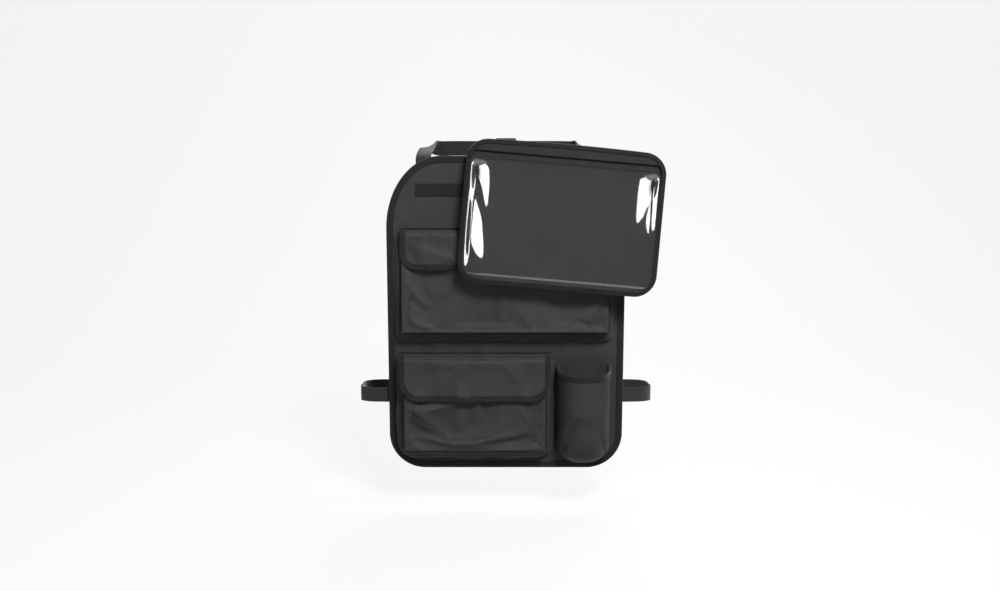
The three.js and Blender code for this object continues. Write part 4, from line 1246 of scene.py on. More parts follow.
@dataclass
class Panel:
    """The stiffened back panel with big round shoulders, its edge tape and its strip of loop tape."""

    shoulder_width: float = 88 * MM
    shoulder_height: float = 115 * MM
    corner_radius: float = 58 * MM
    binding: float = 11 * MM
    tape_length: float = 286 * MM
    tape_drop: float = 43 * MM
    points: tuple[int, int, int, int] = (90, 110, 70, 40)
    seams: Seams = field(default_factory=lambda: Seams("panel_stitches"))

    @property
    def tape_bottom(self) -> float:
        """The height of the loop tape's lower edge."""
        return PANEL_HEIGHT - self.tape_drop - FASTENING_HEIGHT

    def outline(self, inset: float) -> np.ndarray:
        """Gives the panel's outline taken in by inset, always with the same number of points."""
        shoulder = self.shoulder_width - inset, self.shoulder_height - inset
        return outline_points(PANEL_WIDTH / 2 - inset, inset, PANEL_HEIGHT - inset,
                              self.corner_radius - inset, shoulder, self.points)

    def shoulder_top(self, x: float, inset: float) -> float:
        """Gives the outline's height at a distance x from the panel's middle."""
        along = (x - PANEL_WIDTH / 2 + self.shoulder_width) / (self.shoulder_width - inset)
        high = self.shoulder_height - inset
        return PANEL_HEIGHT - self.shoulder_height + high * math.sqrt(1 - min(1, max(0, along)) ** 2)

    def build(self) -> None:
        """Makes the panel's pieces."""
        self.add_cloth()
        section = fold_section(self.binding - LAYER, TAPE_WALL, -SEAM_GAP, PANEL_THICKNESS + SEAM_GAP)
        rings = []
        for inset, height in section:
            line = self.outline(inset + LAYER)
            wave = 0.12 * MM * (1 - np.clip(inset / self.binding, 0, 1)) * ripples(*line.T, 22 * MM, 8)
            rings.append(together(*line.T, height + wave))
        add_band("panel_edge_tape", np.stack(rings, axis=1), EDGE_TAPE, "panel_binding", closed=True)
        for height in (PANEL_THICKNESS + LAYER, -LAYER):
            self.seams.add(together(*self.outline(self.binding - STITCH_INSET).T, height), closed=True)
        flat, strip = flat_drape(PANEL_THICKNESS), strip_at(0.0, self.tape_length, self.tape_bottom)
        fastening_tape("panel_loop_strip", flat, strip, LOOP_TAPE, "panel_loop_tape")
        self.seams.add(flat(*strip.ring(1.4 * MM).T, SEAM_GAP + FASTENING), closed=True)
        self.seams.sew()

    def add_cloth(self) -> None:
        """Makes the panel's padded cloth, softly quilted and puckered along its edge."""
        edge = LAYER
        rise = self.shoulder_height - edge
        turn = np.linspace(0, math.pi / 2, 26)
        corner = edge + (self.corner_radius - edge) * (1 - np.cos(turn))
        shoulder = PANEL_HEIGHT - self.shoulder_height + rise * np.sin(turn)
        heights = np.concatenate([corner, np.linspace(corner[-1], shoulder[0], 86)[1:-1], shoulder])[:, None]
        neck = rounding(PANEL_HEIGHT - edge - heights, rise) * (self.shoulder_width - edge) / rise
        half = PANEL_WIDTH / 2 - edge - rounding(heights - edge, self.corner_radius - edge) - neck
        share = np.linspace(-1, 1, 100)[None, :]
        x, y = np.broadcast_arrays(half * share, heights)
        side = np.minimum(half * (1 - abs(share)), np.minimum(y - edge, PANEL_HEIGHT - edge - y))
        quilt = ease(side, self.binding - 2 * MM, 45 * MM)
        sag = quilt * (0.3 * MM * ripples(x, y, 70 * MM, 5) + 0.6 * MM * ripples(x, y * 0.25, 32 * MM, 7))
        puckers = (1 - quilt) * 0.25 * MM * ripples(x, y, 14 * MM, 6) * ease(side, 0, self.binding)
        front = together(x, y, PANEL_THICKNESS + sag + puckers)
        back = together(x, y, 0.15 * MM * ease(side, self.binding, 40 * MM))
        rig.padded(add_sheet("panel_cloth", front, back, POLYESTER, "back_panel"), fill=0.3)


# Pockets on the panel


@dataclass(frozen=True)
class Crease:
    """A fold in a pocket's cloth, in millimetres from a corner of it, the right one if side is 1."""

    side: int
    start: tuple[float, float]
    end: tuple[float, float]
    reach: float
    rise: float

    def lift(self, x: np.ndarray, y: np.ndarray) -> np.ndarray:
        """Gives how far the fold lifts the cloth, which fades towards its ends.

        Args:
            x: Distance to the right of the corner.
            y: Distance above it.

        Returns:
            A height at each point, in metres.
        """
        run = self.end[0] - self.start[0], self.end[1] - self.start[1]
        length = math.hypot(*run)
        x, y = x - self.start[0], y - self.start[1]
        along = (x * run[0] + y * run[1]) / length**2
        off = (x * run[1] - y * run[0]) / length
        sharp = np.exp(0.3 - 1.5 * np.hypot(off / self.reach, 0.2))
        return self.rise * MM * np.sin(np.clip(along, 0, 1) * math.pi) * sharp


@dataclass
class BoxPocket:
    """A box pocket under a bound flap that closes with hook and loop tape."""

    name: str
    left: float
    right: float
    bottom: float
    flap_top: float
    depth: float
    mouth_depth: float
    side_taper: float
    bottom_taper: float
    base_radius: float
    crown: float
    flap_drop: float
    flap_radius: float
    creases: tuple[Crease, ...]
    seed: int
    front_radius: float = 2.5 * MM
    front_turn: float = 1.6 * MM
    mouth_drop: float = 9 * MM
    flap_inset: float = 4 * MM
    flap_roll: float = 9 * MM
    closure_length: float = 110 * MM
    front_folds: float = 4.2 * MM
    flap_folds: float = 3.2 * MM
    pleat: float = 5.4 * MM
    crown_peak: float = 2 / 3
    step: float = 2.5 * MM

    def __post_init__(self) -> None:
        """Works out the front's cut and the flap's."""
        # The welts are dark cords laid in the front's crease and along the flap's root as painted shadow lines.
        self.seams, self.welts = (Seams(f"{self.name}_pocket_{kind}") for kind in ("stitches", "welts"))
        self.middle = (self.left + self.right) / 2
        self.front = Pattern(self.left + self.side_taper, self.right - self.side_taper,
                             self.bottom + self.bottom_taper, self.flap_top - self.mouth_drop,
                             self.front_radius)
        self.roll = math.pi / 4 * (self.flap_roll + self.mouth_depth + CLOSURE_STACK)
        self.flap = Pattern(self.left + self.flap_inset + LAYER, self.right - self.flap_inset - LAYER,
                            self.flap_roll - self.flap_drop - self.roll + LAYER, 0.0, self.flap_radius)

    def from_seam(self, x: np.ndarray, y: np.ndarray) -> np.ndarray:
        """Gives how far points of the front lie from its sides and its bottom."""
        return np.minimum(np.minimum(x - self.front.left, self.front.right - x), y - self.front.bottom)

    def face_at(self, x: Numbers, y: Numbers) -> np.ndarray:
        """Gives how far the front's outer face stands from the panel's back."""
        front = self.front
        up = np.clip((y - front.bottom) / (front.top - front.bottom), 0, 1)
        off = np.clip((x - front.left) / (front.flat[0] / 2) - 1, -1, 1)
        crown = self.crown * (1 - off**2) ** 2 * np.sin(up / self.crown_peak * math.pi / 2)
        free = ease(self.from_seam(x, y), 2 * MM, 14 * MM)
        free = free * ease(self.flap_top - self.flap_drop - y, 0, 12 * MM)
        lift = sum(crease.lift((x - (front.right if crease.side else front.left)) / MM,
                               (y - front.bottom) / MM) for crease in self.creases)
        return PANEL_THICKNESS + mix(self.depth, self.mouth_depth, up) + crown + free * lift

    def front_surface(self, x: np.ndarray, y: np.ndarray) -> Places:
        """Places points of the front, whose edges roll back towards the side strip."""
        side = self.from_seam(x, y)
        shown = ease(self.flap_top - self.flap_drop + BINDING - y, 0, 20 * MM)
        folds = self.front_folds * ease(side, 1.5 * MM, 22 * MM) * shown
        return together(x, y, self.face_at(x, y) - 0.6 * rounding(side, self.front_turn)
                        + folds * crumples(x, y, 78 * MM, self.seed))

    def flap_surface(self, x: np.ndarray, y: np.ndarray) -> Places:
        """Places points of the flap, which leaves the panel, rolls over and hangs before the front."""
        roll_end = self.flap_top - self.flap_roll
        turn = np.clip(-y / self.roll, 0, 1) * math.pi / 2
        hanging = -y > self.roll
        height = np.where(hanging, roll_end + y + self.roll, roll_end + self.flap_roll * np.cos(turn))
        reach = self.face_at(x, np.where(hanging, height, roll_end)) + CLOSURE_STACK
        out = mix(PANEL_THICKNESS + SEAM_GAP, reach, np.where(hanging, 1.0, np.sin(turn)))
        free = ease(-y, self.roll, self.roll + 30 * MM)
        loose = ease(abs(x - self.middle), self.closure_length / 2, self.closure_length / 2 + 40 * MM)
        wave = 0.8 * MM * free * (0.3 + 0.7 * loose) * ripples(x, y * 0.3, 55 * MM, self.seed)
        wave = np.maximum(wave + self.flap_folds * free * crumples(x, y, 80 * MM, self.seed + 9), -2.2 * MM)
        flare = 1.2 * MM * ease(-y, self.roll + 20 * MM, self.roll + self.flap_drop) * loose
        return together(x, height, out + wave + flare)

    def front_held(self, x: np.ndarray, y: np.ndarray) -> np.ndarray:
        """Says where the front is sewn."""
        return 1 - ease(np.minimum(self.from_seam(x, y), self.front.top - y), 2 * MM, 9 * MM)

    def flap_held(self, x: np.ndarray, y: np.ndarray) -> np.ndarray:
        """Says where the flap is sewn, or held by its hook tape."""
        sewn = 1 - ease(-y, self.roll * 0.5, self.roll + 6 * MM)
        near = 1 - ease(abs(x - self.middle), self.closure_length / 2 - 6 * MM, self.closure_length / 2)
        return np.maximum(sewn, near * ease(-y, self.roll, self.roll + 20 * MM))

    def build(self) -> None:
        """Makes the pocket's pieces."""
        front, step, name = self.front, self.step, self.name
        drape = settle(f"{name}_front", self.front_surface, front, self.front_held,
                       Settling(0.02, 0.6, 4 * MM, 3, pressure=0.5))
        cloth = cut_cloth(f"{name}_pocket_cloth", drape, front, step, f"{name}_pocket_front", hem=True)
        self.add_gusset()
        inset = CLOTH + 2 * SEAM_GAP
        mouth = edge_between((front.right - inset, front.top), (front.left + inset, front.top), (0, -1), step)
        lip = bind_edge(f"{name}_pocket_mouth_tape", drape, mouth, self.seams, f"{name}_pocket_mouth_binding")
        low = self.flap_top - self.flap_drop + BINDING + 2 * LAYER
        loops = fastening_tape(f"{name}_pocket_loops", drape, strip_at(self.middle, self.closure_length, low),
                               LOOP_TAPE, f"{name}_pocket_loop_tape")
        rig.sheet(cloth, **cut_size(drape, front, step), held="stretched", with_pieces=[lip, loops])
        rim = trough(front, front.top - 12 * MM, step)
        self.seams.add(rim.line(drape, STITCH_INSET, 0.05 * MM))
        # A dark cord in the crease between the front and its side strip: a painted shadow line.
        self.welts.add(rim.line(drape, -0.7 * MM, -2.1 * MM))
        self.add_flap()
        self.seams.sew()

    def add_gusset(self) -> None:
        """Makes the strip of cloth that joins the front to the panel."""
        base = Pattern(self.left, self.right, self.bottom, self.front.top, self.base_radius)
        out = np.linspace(0, 1, 14)[None, :]
        low = trough(base, base.top, 3 * MM)
        high = self.matching(low)

        def wall(inset: float) -> Places:
            """Places the strip's outer side, or its inner side with an inset."""
            (low_x, low_y), (high_x, high_y) = low.at(inset), high.at(inset)
            edge = self.face_at(high_x, high_y) - CLOTH - 1.2 * MM
            x, y = mix(low_x, high_x, out), mix(low_y, high_y, out)
            z = mix(PANEL_THICKNESS + SEAM_GAP, edge, out)
            wander = 1.2 * MM * ripples(x + z, y + z, 42 * MM, self.seed + 3)
            pleat = self.pleat * np.interp(out, (0, 0.3, 0.75, 1), (0, -1, 1, 0))
            belly = np.sin(out * math.pi) * wander + pleat
            return together(x + belly * low.in_x[:, None], y + belly * low.in_y[:, None], z)

        outer = wall(0.0)
        length = run_of(outer[:, 0])
        strip = add_sheet(f"{self.name}_pocket_side", outer, wall(CLOTH), POLYESTER,
                          f"{self.name}_pocket_gusset", together(length[:, None], out * self.depth))
        width = float(np.linalg.norm(np.diff(outer, axis=1), axis=2).sum(axis=1).mean())
        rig.sheet(strip, flat=(width, float(length[-1])), held="stretched")

    def matching(self, low: Stations) -> Stations:
        """Finds the place on the front's edge that each station of the side strip is sewn to.

        Args:
            low: The stations along the panel.

        Returns:
            The stations on the front's edge.
        """
        edge = trough(self.front, self.front.top, 1 * MM)
        marks = []
        for line in (low, edge):
            run, slant = run_of(together(line.x, line.y)), line.in_x * line.in_y
            marks.append((run, run[[0, int(np.argmax(slant)), int(np.argmin(slant)), -1]]))
        (low_run, low_marks), (run, edge_marks) = marks
        at = np.interp(low_run, low_marks, edge_marks)
        return Stations(*(np.interp(at, run, part) for part in (edge.x, edge.y, edge.in_x, edge.in_y)))

    def add_flap(self) -> None:
        """Makes the flap, its edge tape, its hook tape, and the dark cords that paint shadow lines in the front's
        crease and along the flap's root.
        """
        flap, step, name = self.flap, self.step, self.name
        drape = settle(f"{name}_flap", self.flap_surface, flap, self.flap_held,
                       Settling(0.01, 0.3, 1.6 * MM, 1.5))
        cloth = cut_cloth(f"{name}_flap_cloth", drape, flap, step, f"{name}_pocket_flap")
        tape = bind_edge(f"{name}_flap_edge_tape", drape, trough(flap, -step, step), self.seams,
                         f"{name}_flap_binding", self.seed)
        strip = strip_at(self.middle, self.closure_length, flap.bottom + BINDING + LAYER)
        hooks = fastening_tape(f"{name}_flap_hooks", drape, strip, HOOK_TAPE, f"{name}_flap_hook_tape")
        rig.sheet(cloth, **cut_size(drape, flap, step), held="hung", rests_on=["panel_cloth"],
                 with_pieces=[tape, hooks])
        root = edge_between((flap.left + 6 * MM, 0), (flap.right - 6 * MM, 0), (0, -1), step)
        self.seams.add(root.line(drape, 2.2 * MM, 0.05 * MM))
        # A dark cord along the flap's root: a painted shadow line where the flap leaves the panel.
        x = np.linspace(self.left + self.flap_inset, self.right - self.flap_inset, 60)
        self.welts.add(together(x, self.flap_top + 1 * MM, PANEL_THICKNESS + 0.6 * MM))
        self.welts.sew(Stitching(1.6 * MM, 2.6 * MM, 1.7 * MM, SHADOW_CORD_THREAD))


@dataclass
class BottlePocket:
    """A sheet that bulges out of the panel between two sewn sides, over a rounded base.

    Its folds are placed by the share of its half width and by millimetres above its base.
    """

    left: float
    width: float = 85 * MM
    depth: float = 64 * MM
    top: float = 174 * MM
    rise: float = 13 * MM
    rim_dip: float = 7 * MM
    base_height: float = 62 * MM
    corner_radius: float = 32 * MM
    fullness: float = 0.78
    columns: int = 72
    rows: int = 64
    folds: tuple[Crease, ...] = (
        Crease(0, (-0.8, -12), (-0.1, 92), 0.26, -13),
        Crease(0, (0.72, -10), (0.22, 80), 0.2, -9),
        Crease(0, (-0.15, -10), (-0.5, 60), 0.16, 4),
    )

    def rim_at(self, across: np.ndarray) -> np.ndarray:
        """Gives the height of the upper edge, which dips in the middle."""
        return self.top - self.rim_dip * np.cos(across * math.pi / 2)

    def surface(self, across: np.ndarray, y: np.ndarray, height: Numbers = 0.0) -> Places:
        """Places points of the pocket.

        Args:
            across: From -1 at the left seam to 1 at the right one.
            y: Height on the panel.
            height: Distance out of the cloth's outer face.

        Returns:
            Layout places.
        """
        turn = (1 - across) * math.pi / 2
        rise = np.clip((y - self.rise + np.minimum(0, height)) / self.base_height, 0, 1)
        half = self.width / 2 - rounding(y - self.rise, self.corner_radius) + height
        bulge = mix(2 * CLOTH, self.depth, np.sqrt(np.maximum(0, 1 - (1 - rise) ** 2)))
        bulge = bulge + sum(fold.lift(across, (y - self.rise) / MM) for fold in self.folds)
        crumple = ease(y, self.rise, self.rise + 20 * MM) * (1 - ease(y, self.top - 30 * MM, self.top))
        bulge = bulge + crumple * 1.6 * MM * crumples(across * 40 * MM, y * 0.5, 44 * MM, 21)
        sine, cosine = np.maximum(0, np.sin(turn)), np.cos(turn)
        side = np.sign(cosine) * abs(cosine) ** self.fullness
        out = PANEL_THICKNESS + SEAM_GAP + (bulge + height) * sine**self.fullness
        return together(self.left + self.width / 2 + half * side, y, out)

    def build(self) -> None:
        """Makes the pocket, its edge tape and its stitches."""
        across = np.linspace(-1, 1, self.columns)[None, :]
        up = np.linspace(0, 1, self.rows)[:, None] ** 1.25
        y = mix(self.rise, self.rim_at(across), up)
        outer, inner = self.surface(across, y), self.surface(across, y, -CLOTH)
        middle = self.columns // 2
        girths = np.cumsum(np.linalg.norm(np.diff(outer, axis=1), axis=2), axis=1)
        wide = np.concatenate([np.zeros((self.rows, 1)), girths], axis=1)
        tall = run_of(outer[:, middle])
        cut = together(wide - wide[:, middle, None], tall[:, None])
        cloth = add_sheet("bottle_pocket_cloth", outer, inner, POLYESTER, "bottle_pocket", cut)
        flat = (float(wide[:, -1].max()), float(tall[-1]))
        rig.sheet(cloth, flat=flat, area=max(laid_area(outer), 0.31 * flat[0] * flat[1]), held="gathered",
                 rests_on=["panel_cloth"], with_pieces=[self.bind()])
        seams = Seams("bottle_pocket_stitches")
        line = np.linspace(-0.97, 0.97, 60)
        seams.add(self.surface(line, self.rim_at(line) - BINDING + STITCH_INSET, LAYER))
        seams.sew()

    def bind(self) -> bpy.types.Object:
        """Sews the edge tape over the pocket's upper edge."""
        inset, height = fold_section(BINDING, TAPE_WALL, -CLOTH - SEAM_GAP, SEAM_GAP).T
        across = np.linspace(0.985, -0.985, 90)[:, None]
        rings = self.surface(across, self.rim_at(across) - inset, height)
        return add_band("bottle_pocket_rim_tape", rings, EDGE_TAPE, "bottle_pocket_mouth_binding")


# The case


@dataclass
class ClearCase:
    """A flat cloth case with a clear window, hung from the panel's loop tape by a hidden tab."""

    panel: Panel
    behind: BoxPocket
    width: float = 312 * MM
    height: float = 225 * MM
    depth: float = 16 * MM
    corner_radius: float = 35 * MM
    top_bow: float = 2 * MM
    centre_x: float = 86 * MM
    above_panel: float = 16.5 * MM
    roll_degrees: float = 5
    panel_clearance: float = 3.4 * MM
    flap_clearance: float = 2 * MM
    wall: float = 1.2 * MM
    back_thickness: float = 2.4 * MM
    film: float = 0.8 * MM
    band_height: float = 17 * MM
    hem_height: float = 20 * MM
    hem_below_band: float = 11.5 * MM
    closure_length: float = 200 * MM
    closure_height: float = 7 * MM
    film_slope: float = 122 * MM
    tab_width: float = 200 * MM
    tab_inset: float = 15 * MM
    tab_seam: float = 12 * MM
    patch_margin: float = 5 * MM
    slope_step: float = 19 * MM
    film_margin: float = 33 * MM
    film_dip: float = 6.4 * MM
    film_streak: float = 34 * MM
    film_waves: float = 0.6 * MM
    film_foot: float = 0.8 * MM
    step: float = 2 * MM
    seams: Seams = field(default_factory=lambda: Seams("case_stitches"))

    def __post_init__(self) -> None:
        """Works out the case's lean and its layers."""
        pocket = self.behind
        flap_edge = pocket.flap_top - pocket.flap_drop
        over_flap = float(pocket.face_at(pocket.middle, flap_edge)) + CLOSURE_STACK + LAYER
        self.over_panel = PANEL_THICKNESS + LAYER + self.panel_clearance
        self.angle = math.atan2(over_flap + self.flap_clearance - self.over_panel, PANEL_HEIGHT - flap_edge)
        self.centre_y = PANEL_HEIGHT + self.above_panel - self.height / 2
        self.inset = self.wall + SEAM_GAP
        self.film_front = self.depth - self.inset
        self.half = self.width / 2 - self.inset
        self.band_top = self.height / 2 - self.inset
        self.band_bottom = self.band_top - self.band_height
        self.hem_bottom = self.band_bottom - self.hem_below_band
        self.film_top = self.hem_bottom + self.hem_height - LAYER
        self.band_back = self.film_front - CLOTH
        self.film_at_mouth = self.band_back - 3 * SEAM_GAP - 2 * FASTENING - LAYER
        self.sheet = Pattern(-self.half, self.half, -self.band_top, self.band_top,
                             self.corner_radius - self.inset, self.band_top)
        self.on_film = Drape(lambda x, y: together(x, y, self.film_level(x, y)))

    def plane_at(self, y: Numbers) -> np.ndarray:
        """Gives how far the case's back plane stands out at a height."""
        return self.over_panel + (PANEL_HEIGHT - y) * math.tan(self.angle)

    def placed(self, points: Places) -> Places:
        """Turns places on the case, about its centre, into layout places."""
        roll, lean = math.radians(-self.roll_degrees), -self.angle
        x, y, z = np.moveaxis(points, -1, 0)
        x, y = x * math.cos(roll) - y * math.sin(roll), x * math.sin(roll) + y * math.cos(roll)
        y, z = y * math.cos(lean) - z * math.sin(lean), y * math.sin(lean) + z * math.cos(lean)
        return together(x + self.centre_x, y + self.centre_y, z + self.plane_at(self.centre_y))

    def outline(self, inset: float) -> np.ndarray:
        """Gives the case's outline about its centre taken in by inset, with a top edge that bows up."""
        high, corner = self.height / 2 - inset, self.corner_radius - inset
        return outline_points(self.width / 2 - inset, -high, high, corner, (corner, corner),
                              (80, 50, 80, 24), self.top_bow)

    def film_level(self, x: np.ndarray, y: np.ndarray) -> np.ndarray:
        """Gives how far the film stands out of the case's back plane.

        Args:
            x: Distance to the right of the case's centre.
            y: Distance above it.

        Returns:
            A level at each point: slack waves, and sharp slanting folds in the margins.
        """
        side, low = self.half - abs(x), y + self.band_top
        to_mouth = ease(y, self.hem_bottom - self.film_slope, self.hem_bottom - self.slope_step)
        loose = 1 - ease(y, self.hem_bottom - 14 * MM, self.hem_bottom - 2 * MM)
        slack = ease(np.minimum(np.minimum(side, low), self.hem_bottom - y), BINDING, 5 * BINDING)
        wave = self.film_waves * (ripples(x, y, 90 * MM, 31) - 1) * slack
        reach = np.clip((side - BINDING) / self.film_margin, 0, 1)
        bend = 3 * MM * ripples(x, y, 70 * MM, 35)
        streak = np.sin(2 * math.pi * (0.36 * y - 0.6 * abs(x) + bend) / self.film_streak)
        fold = np.minimum(reach / 0.24, (1 - reach) / 0.76)
        taut = 1 - 0.7 * ease(x, 0, self.width / 4) * ease(-y, -self.height * 0.1, self.height * 0.1)
        dip = self.film_dip * (np.hypot(fold, 0.1) - 0.1) * (0.8 + 0.2 * streak) * taut
        dip = dip * ease(low, 0, 50 * MM)
        foot = self.film_foot * np.sin(math.pi * np.clip((low - BINDING) / (7 * MM), 0, 1)) ** 2
        return mix(self.film_front, self.film_at_mouth, to_mouth) + wave - dip * loose - foot

    def add(self, name: str, outer: Places, inner: Places, finish: Finish, node: str,
            cut: np.ndarray | None = None) -> bpy.types.Object:
        """Makes a sheet from places on the case, as add_sheet does."""
        cut = outer[..., :2] if cut is None else cut
        return add_sheet(name, self.placed(outer), self.placed(inner), finish, node, cut)

    def build(self) -> None:
        """Makes the case's pieces."""
        x, y = self.even_grid()
        side = np.minimum(self.half - abs(x), self.band_top - abs(y))
        soft = ease(side, BINDING, 40 * MM) * 0.4 * MM * ripples(x, y, 60 * MM, 41)
        front, back = (together(x, y, self.inset + level) for level in (self.back_thickness + soft, 0.0))
        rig.padded(self.add("case_back_cloth", front, back, LINING, "case_back"), fill=0.4)
        section = fold_section(BINDING - self.inset, self.wall, self.inset - SEAM_GAP,
                               self.film_front + SEAM_GAP)
        rings = np.stack([together(*self.outline(inset + self.inset).T, height)
                          for inset, height in section], axis=1)
        add_band("case_edge_tape", self.placed(rings), EDGE_TAPE, "case_binding", closed=True)
        for height in (self.depth, 0.0):
            line = together(*self.outline(BINDING - STITCH_INSET).T, height)
            self.seams.add(self.placed(line), closed=True)
        self.add_film()
        self.add_band()
        self.add_closure()
        self.add_tab()
        self.seams.sew()

    def even_grid(self) -> tuple[np.ndarray, np.ndarray]:
        """Spreads points over the case's sheet, whose four corners are round."""
        turn = np.linspace(0, math.pi / 2, 14)
        low = self.sheet.bottom + self.sheet.radius * (1 - np.cos(turn))
        middle = np.linspace(low[-1], -low[-1], round(-2 * low[-1] / self.step))[1:-1]
        return self.sheet.rows(np.concatenate([low, middle, -low[::-1]]),
                               np.linspace(0, 1, round(self.width / self.step)))

    def add_film(self) -> None:
        """Makes the clear film, tucked into the case's mouth at its top, and its folded hem."""
        cut = replace(self.sheet, top=self.film_top)
        x, y = cut.grid(self.step)
        window = self.add("case_film", self.on_film(x, y), self.on_film(x, y, -self.film), FILM,
                          "case_window")
        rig.sheet(window, flat=cut.flat, area=cut.area, held="stretched")
        hem_top = self.film_top + LAYER
        half, height = self.half - float(self.sheet.inset(hem_top)) - SEAM_GAP, hem_top - self.hem_bottom
        section = fold_section(height - LAYER, TAPE_WALL, -self.film - SEAM_GAP, SEAM_GAP)
        x = np.linspace(half, -half, round(2 * half / self.step))[:, None]
        rings = self.on_film(x, self.film_top - section[:, 0], section[:, 1])
        hem = add_band("case_hem", self.placed(rings), LINING, "case_mouth_hem")
        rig.sheet(hem, flat=(2 * half, 2 * height), held="folded", rests_on=["case_film"])
        line = np.linspace(2 * MM - half, half - 2 * MM, 90)
        self.seams.add(self.placed(self.on_film(line, self.hem_bottom + 2.2 * MM, LAYER)))

    def add_band(self) -> None:
        """Makes the band along the case's top."""
        share = np.linspace(0, 1, 110)
        x, y = self.sheet.rows(np.linspace(self.band_bottom, self.band_top - 0.05 * MM, 12), share)
        bow = 4 * self.top_bow * share * (1 - share) * ease(y, self.band_bottom, self.band_top)
        soft = 0.25 * MM * ripples(x, y, 50 * MM, 47) * (1 - ease(y, self.band_top - 9 * MM, self.band_top))
        front = together(x, y + bow, self.film_front + soft - 0.1 * MM)
        band = self.add("case_band", front, front - (0, 0, CLOTH), LINING, "case_top_band", together(x, y))
        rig.sheet(band, flat=(2 * self.half, self.band_height), held="stretched")
        line = np.linspace(6 * MM - self.half, self.half - 6 * MM, 90)
        self.seams.add(self.placed(together(line, self.band_bottom + 2 * MM, self.film_front + 0.1 * MM)))

    def add_closure(self) -> None:
        """Makes the hook and loop tape between the top band and the film's hem."""
        strip = strip_at(0.0, self.closure_length, self.band_bottom + SEAM_GAP, self.closure_height)
        level = self.band_back
        for kind, finish in (("hook", HOOK_TAPE), ("loop", LOOP_TAPE)):
            level -= SEAM_GAP + FASTENING
            tape = together(*strip.grid(2 * MM), level)
            self.add(f"case_mouth_{kind}s", tape + (0, 0, FASTENING), tape, finish, f"case_mouth_{kind}_tape")

    def add_tab(self) -> None:
        """Makes the tab sewn to the case's back, whose hook tape holds on the panel's loop tape."""
        to_plane = (self.inset - SEAM_GAP) / math.cos(self.angle)
        low, margin, reach = self.panel.tape_bottom, self.patch_margin, self.panel.tape_length / 2
        top = PANEL_HEIGHT + self.above_panel - self.tab_inset - self.tab_seam
        free = top - self.tab_seam

        def surface(x: np.ndarray, y: np.ndarray) -> Places:
            """Places points of the tab, which leaves the case and hangs down to the loop tape."""
            hang = ease(free - y, 0, free - low - FASTENING_HEIGHT)
            return together(x, y, mix(self.plane_at(y) + to_plane, PANEL_THICKNESS + CLOSURE_STACK, hang))

        left = max(self.centre_x - self.tab_width / 2, -reach)
        right = min(left + self.tab_width, reach)
        tab, drape = Pattern(left, right, low - margin, top), Drape(surface)
        cloth = cut_cloth("case_tab", drape, tab, 3 * MM, "case_hanger_tab")
        strip = Pattern(left + margin, right - margin, low, low + FASTENING_HEIGHT)
        hooks = fastening_tape("case_tab_hooks", drape, strip, HOOK_TAPE, "case_hanger_hook_tape")
        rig.sheet(cloth, flat=tab.flat, held="hung", rests_on=["panel_loop_strip"], with_pieces=[hooks])


# Strap and elastic


def smooth_path(points: np.ndarray, step: float) -> np.ndarray:
    """Runs a centripetal Catmull-Rom curve through points and spaces it evenly.

    Args:
        points: The points to pass through. The first three columns are a place.
        step: The distance between two results.

    Returns:
        Evenly spaced rows, with as many columns as the points have.
    """
    ends = np.vstack([2 * points[0] - points[1], points, 2 * points[-1] - points[-2]])
    rows = []
    for p0, p1, p2, p3 in zip(ends, ends[1:], ends[2:], ends[3:]):
        t1, t2, t3 = np.cumsum([np.linalg.norm((b - a)[:3]) ** 0.5
                                for a, b in ((p0, p1), (p1, p2), (p2, p3))])
        for t in np.linspace(t1, t2, 24, endpoint=False):
            a1, a2 = mix(p0, p1, t / t1), mix(p1, p2, (t - t1) / (t2 - t1))
            a3 = mix(p2, p3, (t - t2) / (t3 - t2))
            b1, b2 = mix(a1, a2, t / t2), mix(a2, a3, (t - t1) / (t3 - t1))
            rows.append(mix(b1, b2, (t - t1) / (t2 - t1)))
    fine = np.vstack([rows, points[-1]])
    run = run_of(fine[:, :3])
    even = np.linspace(0, run[-1], max(2, round(run[-1] / step)))
    return together(*(np.interp(even, run, column) for column in fine.T))


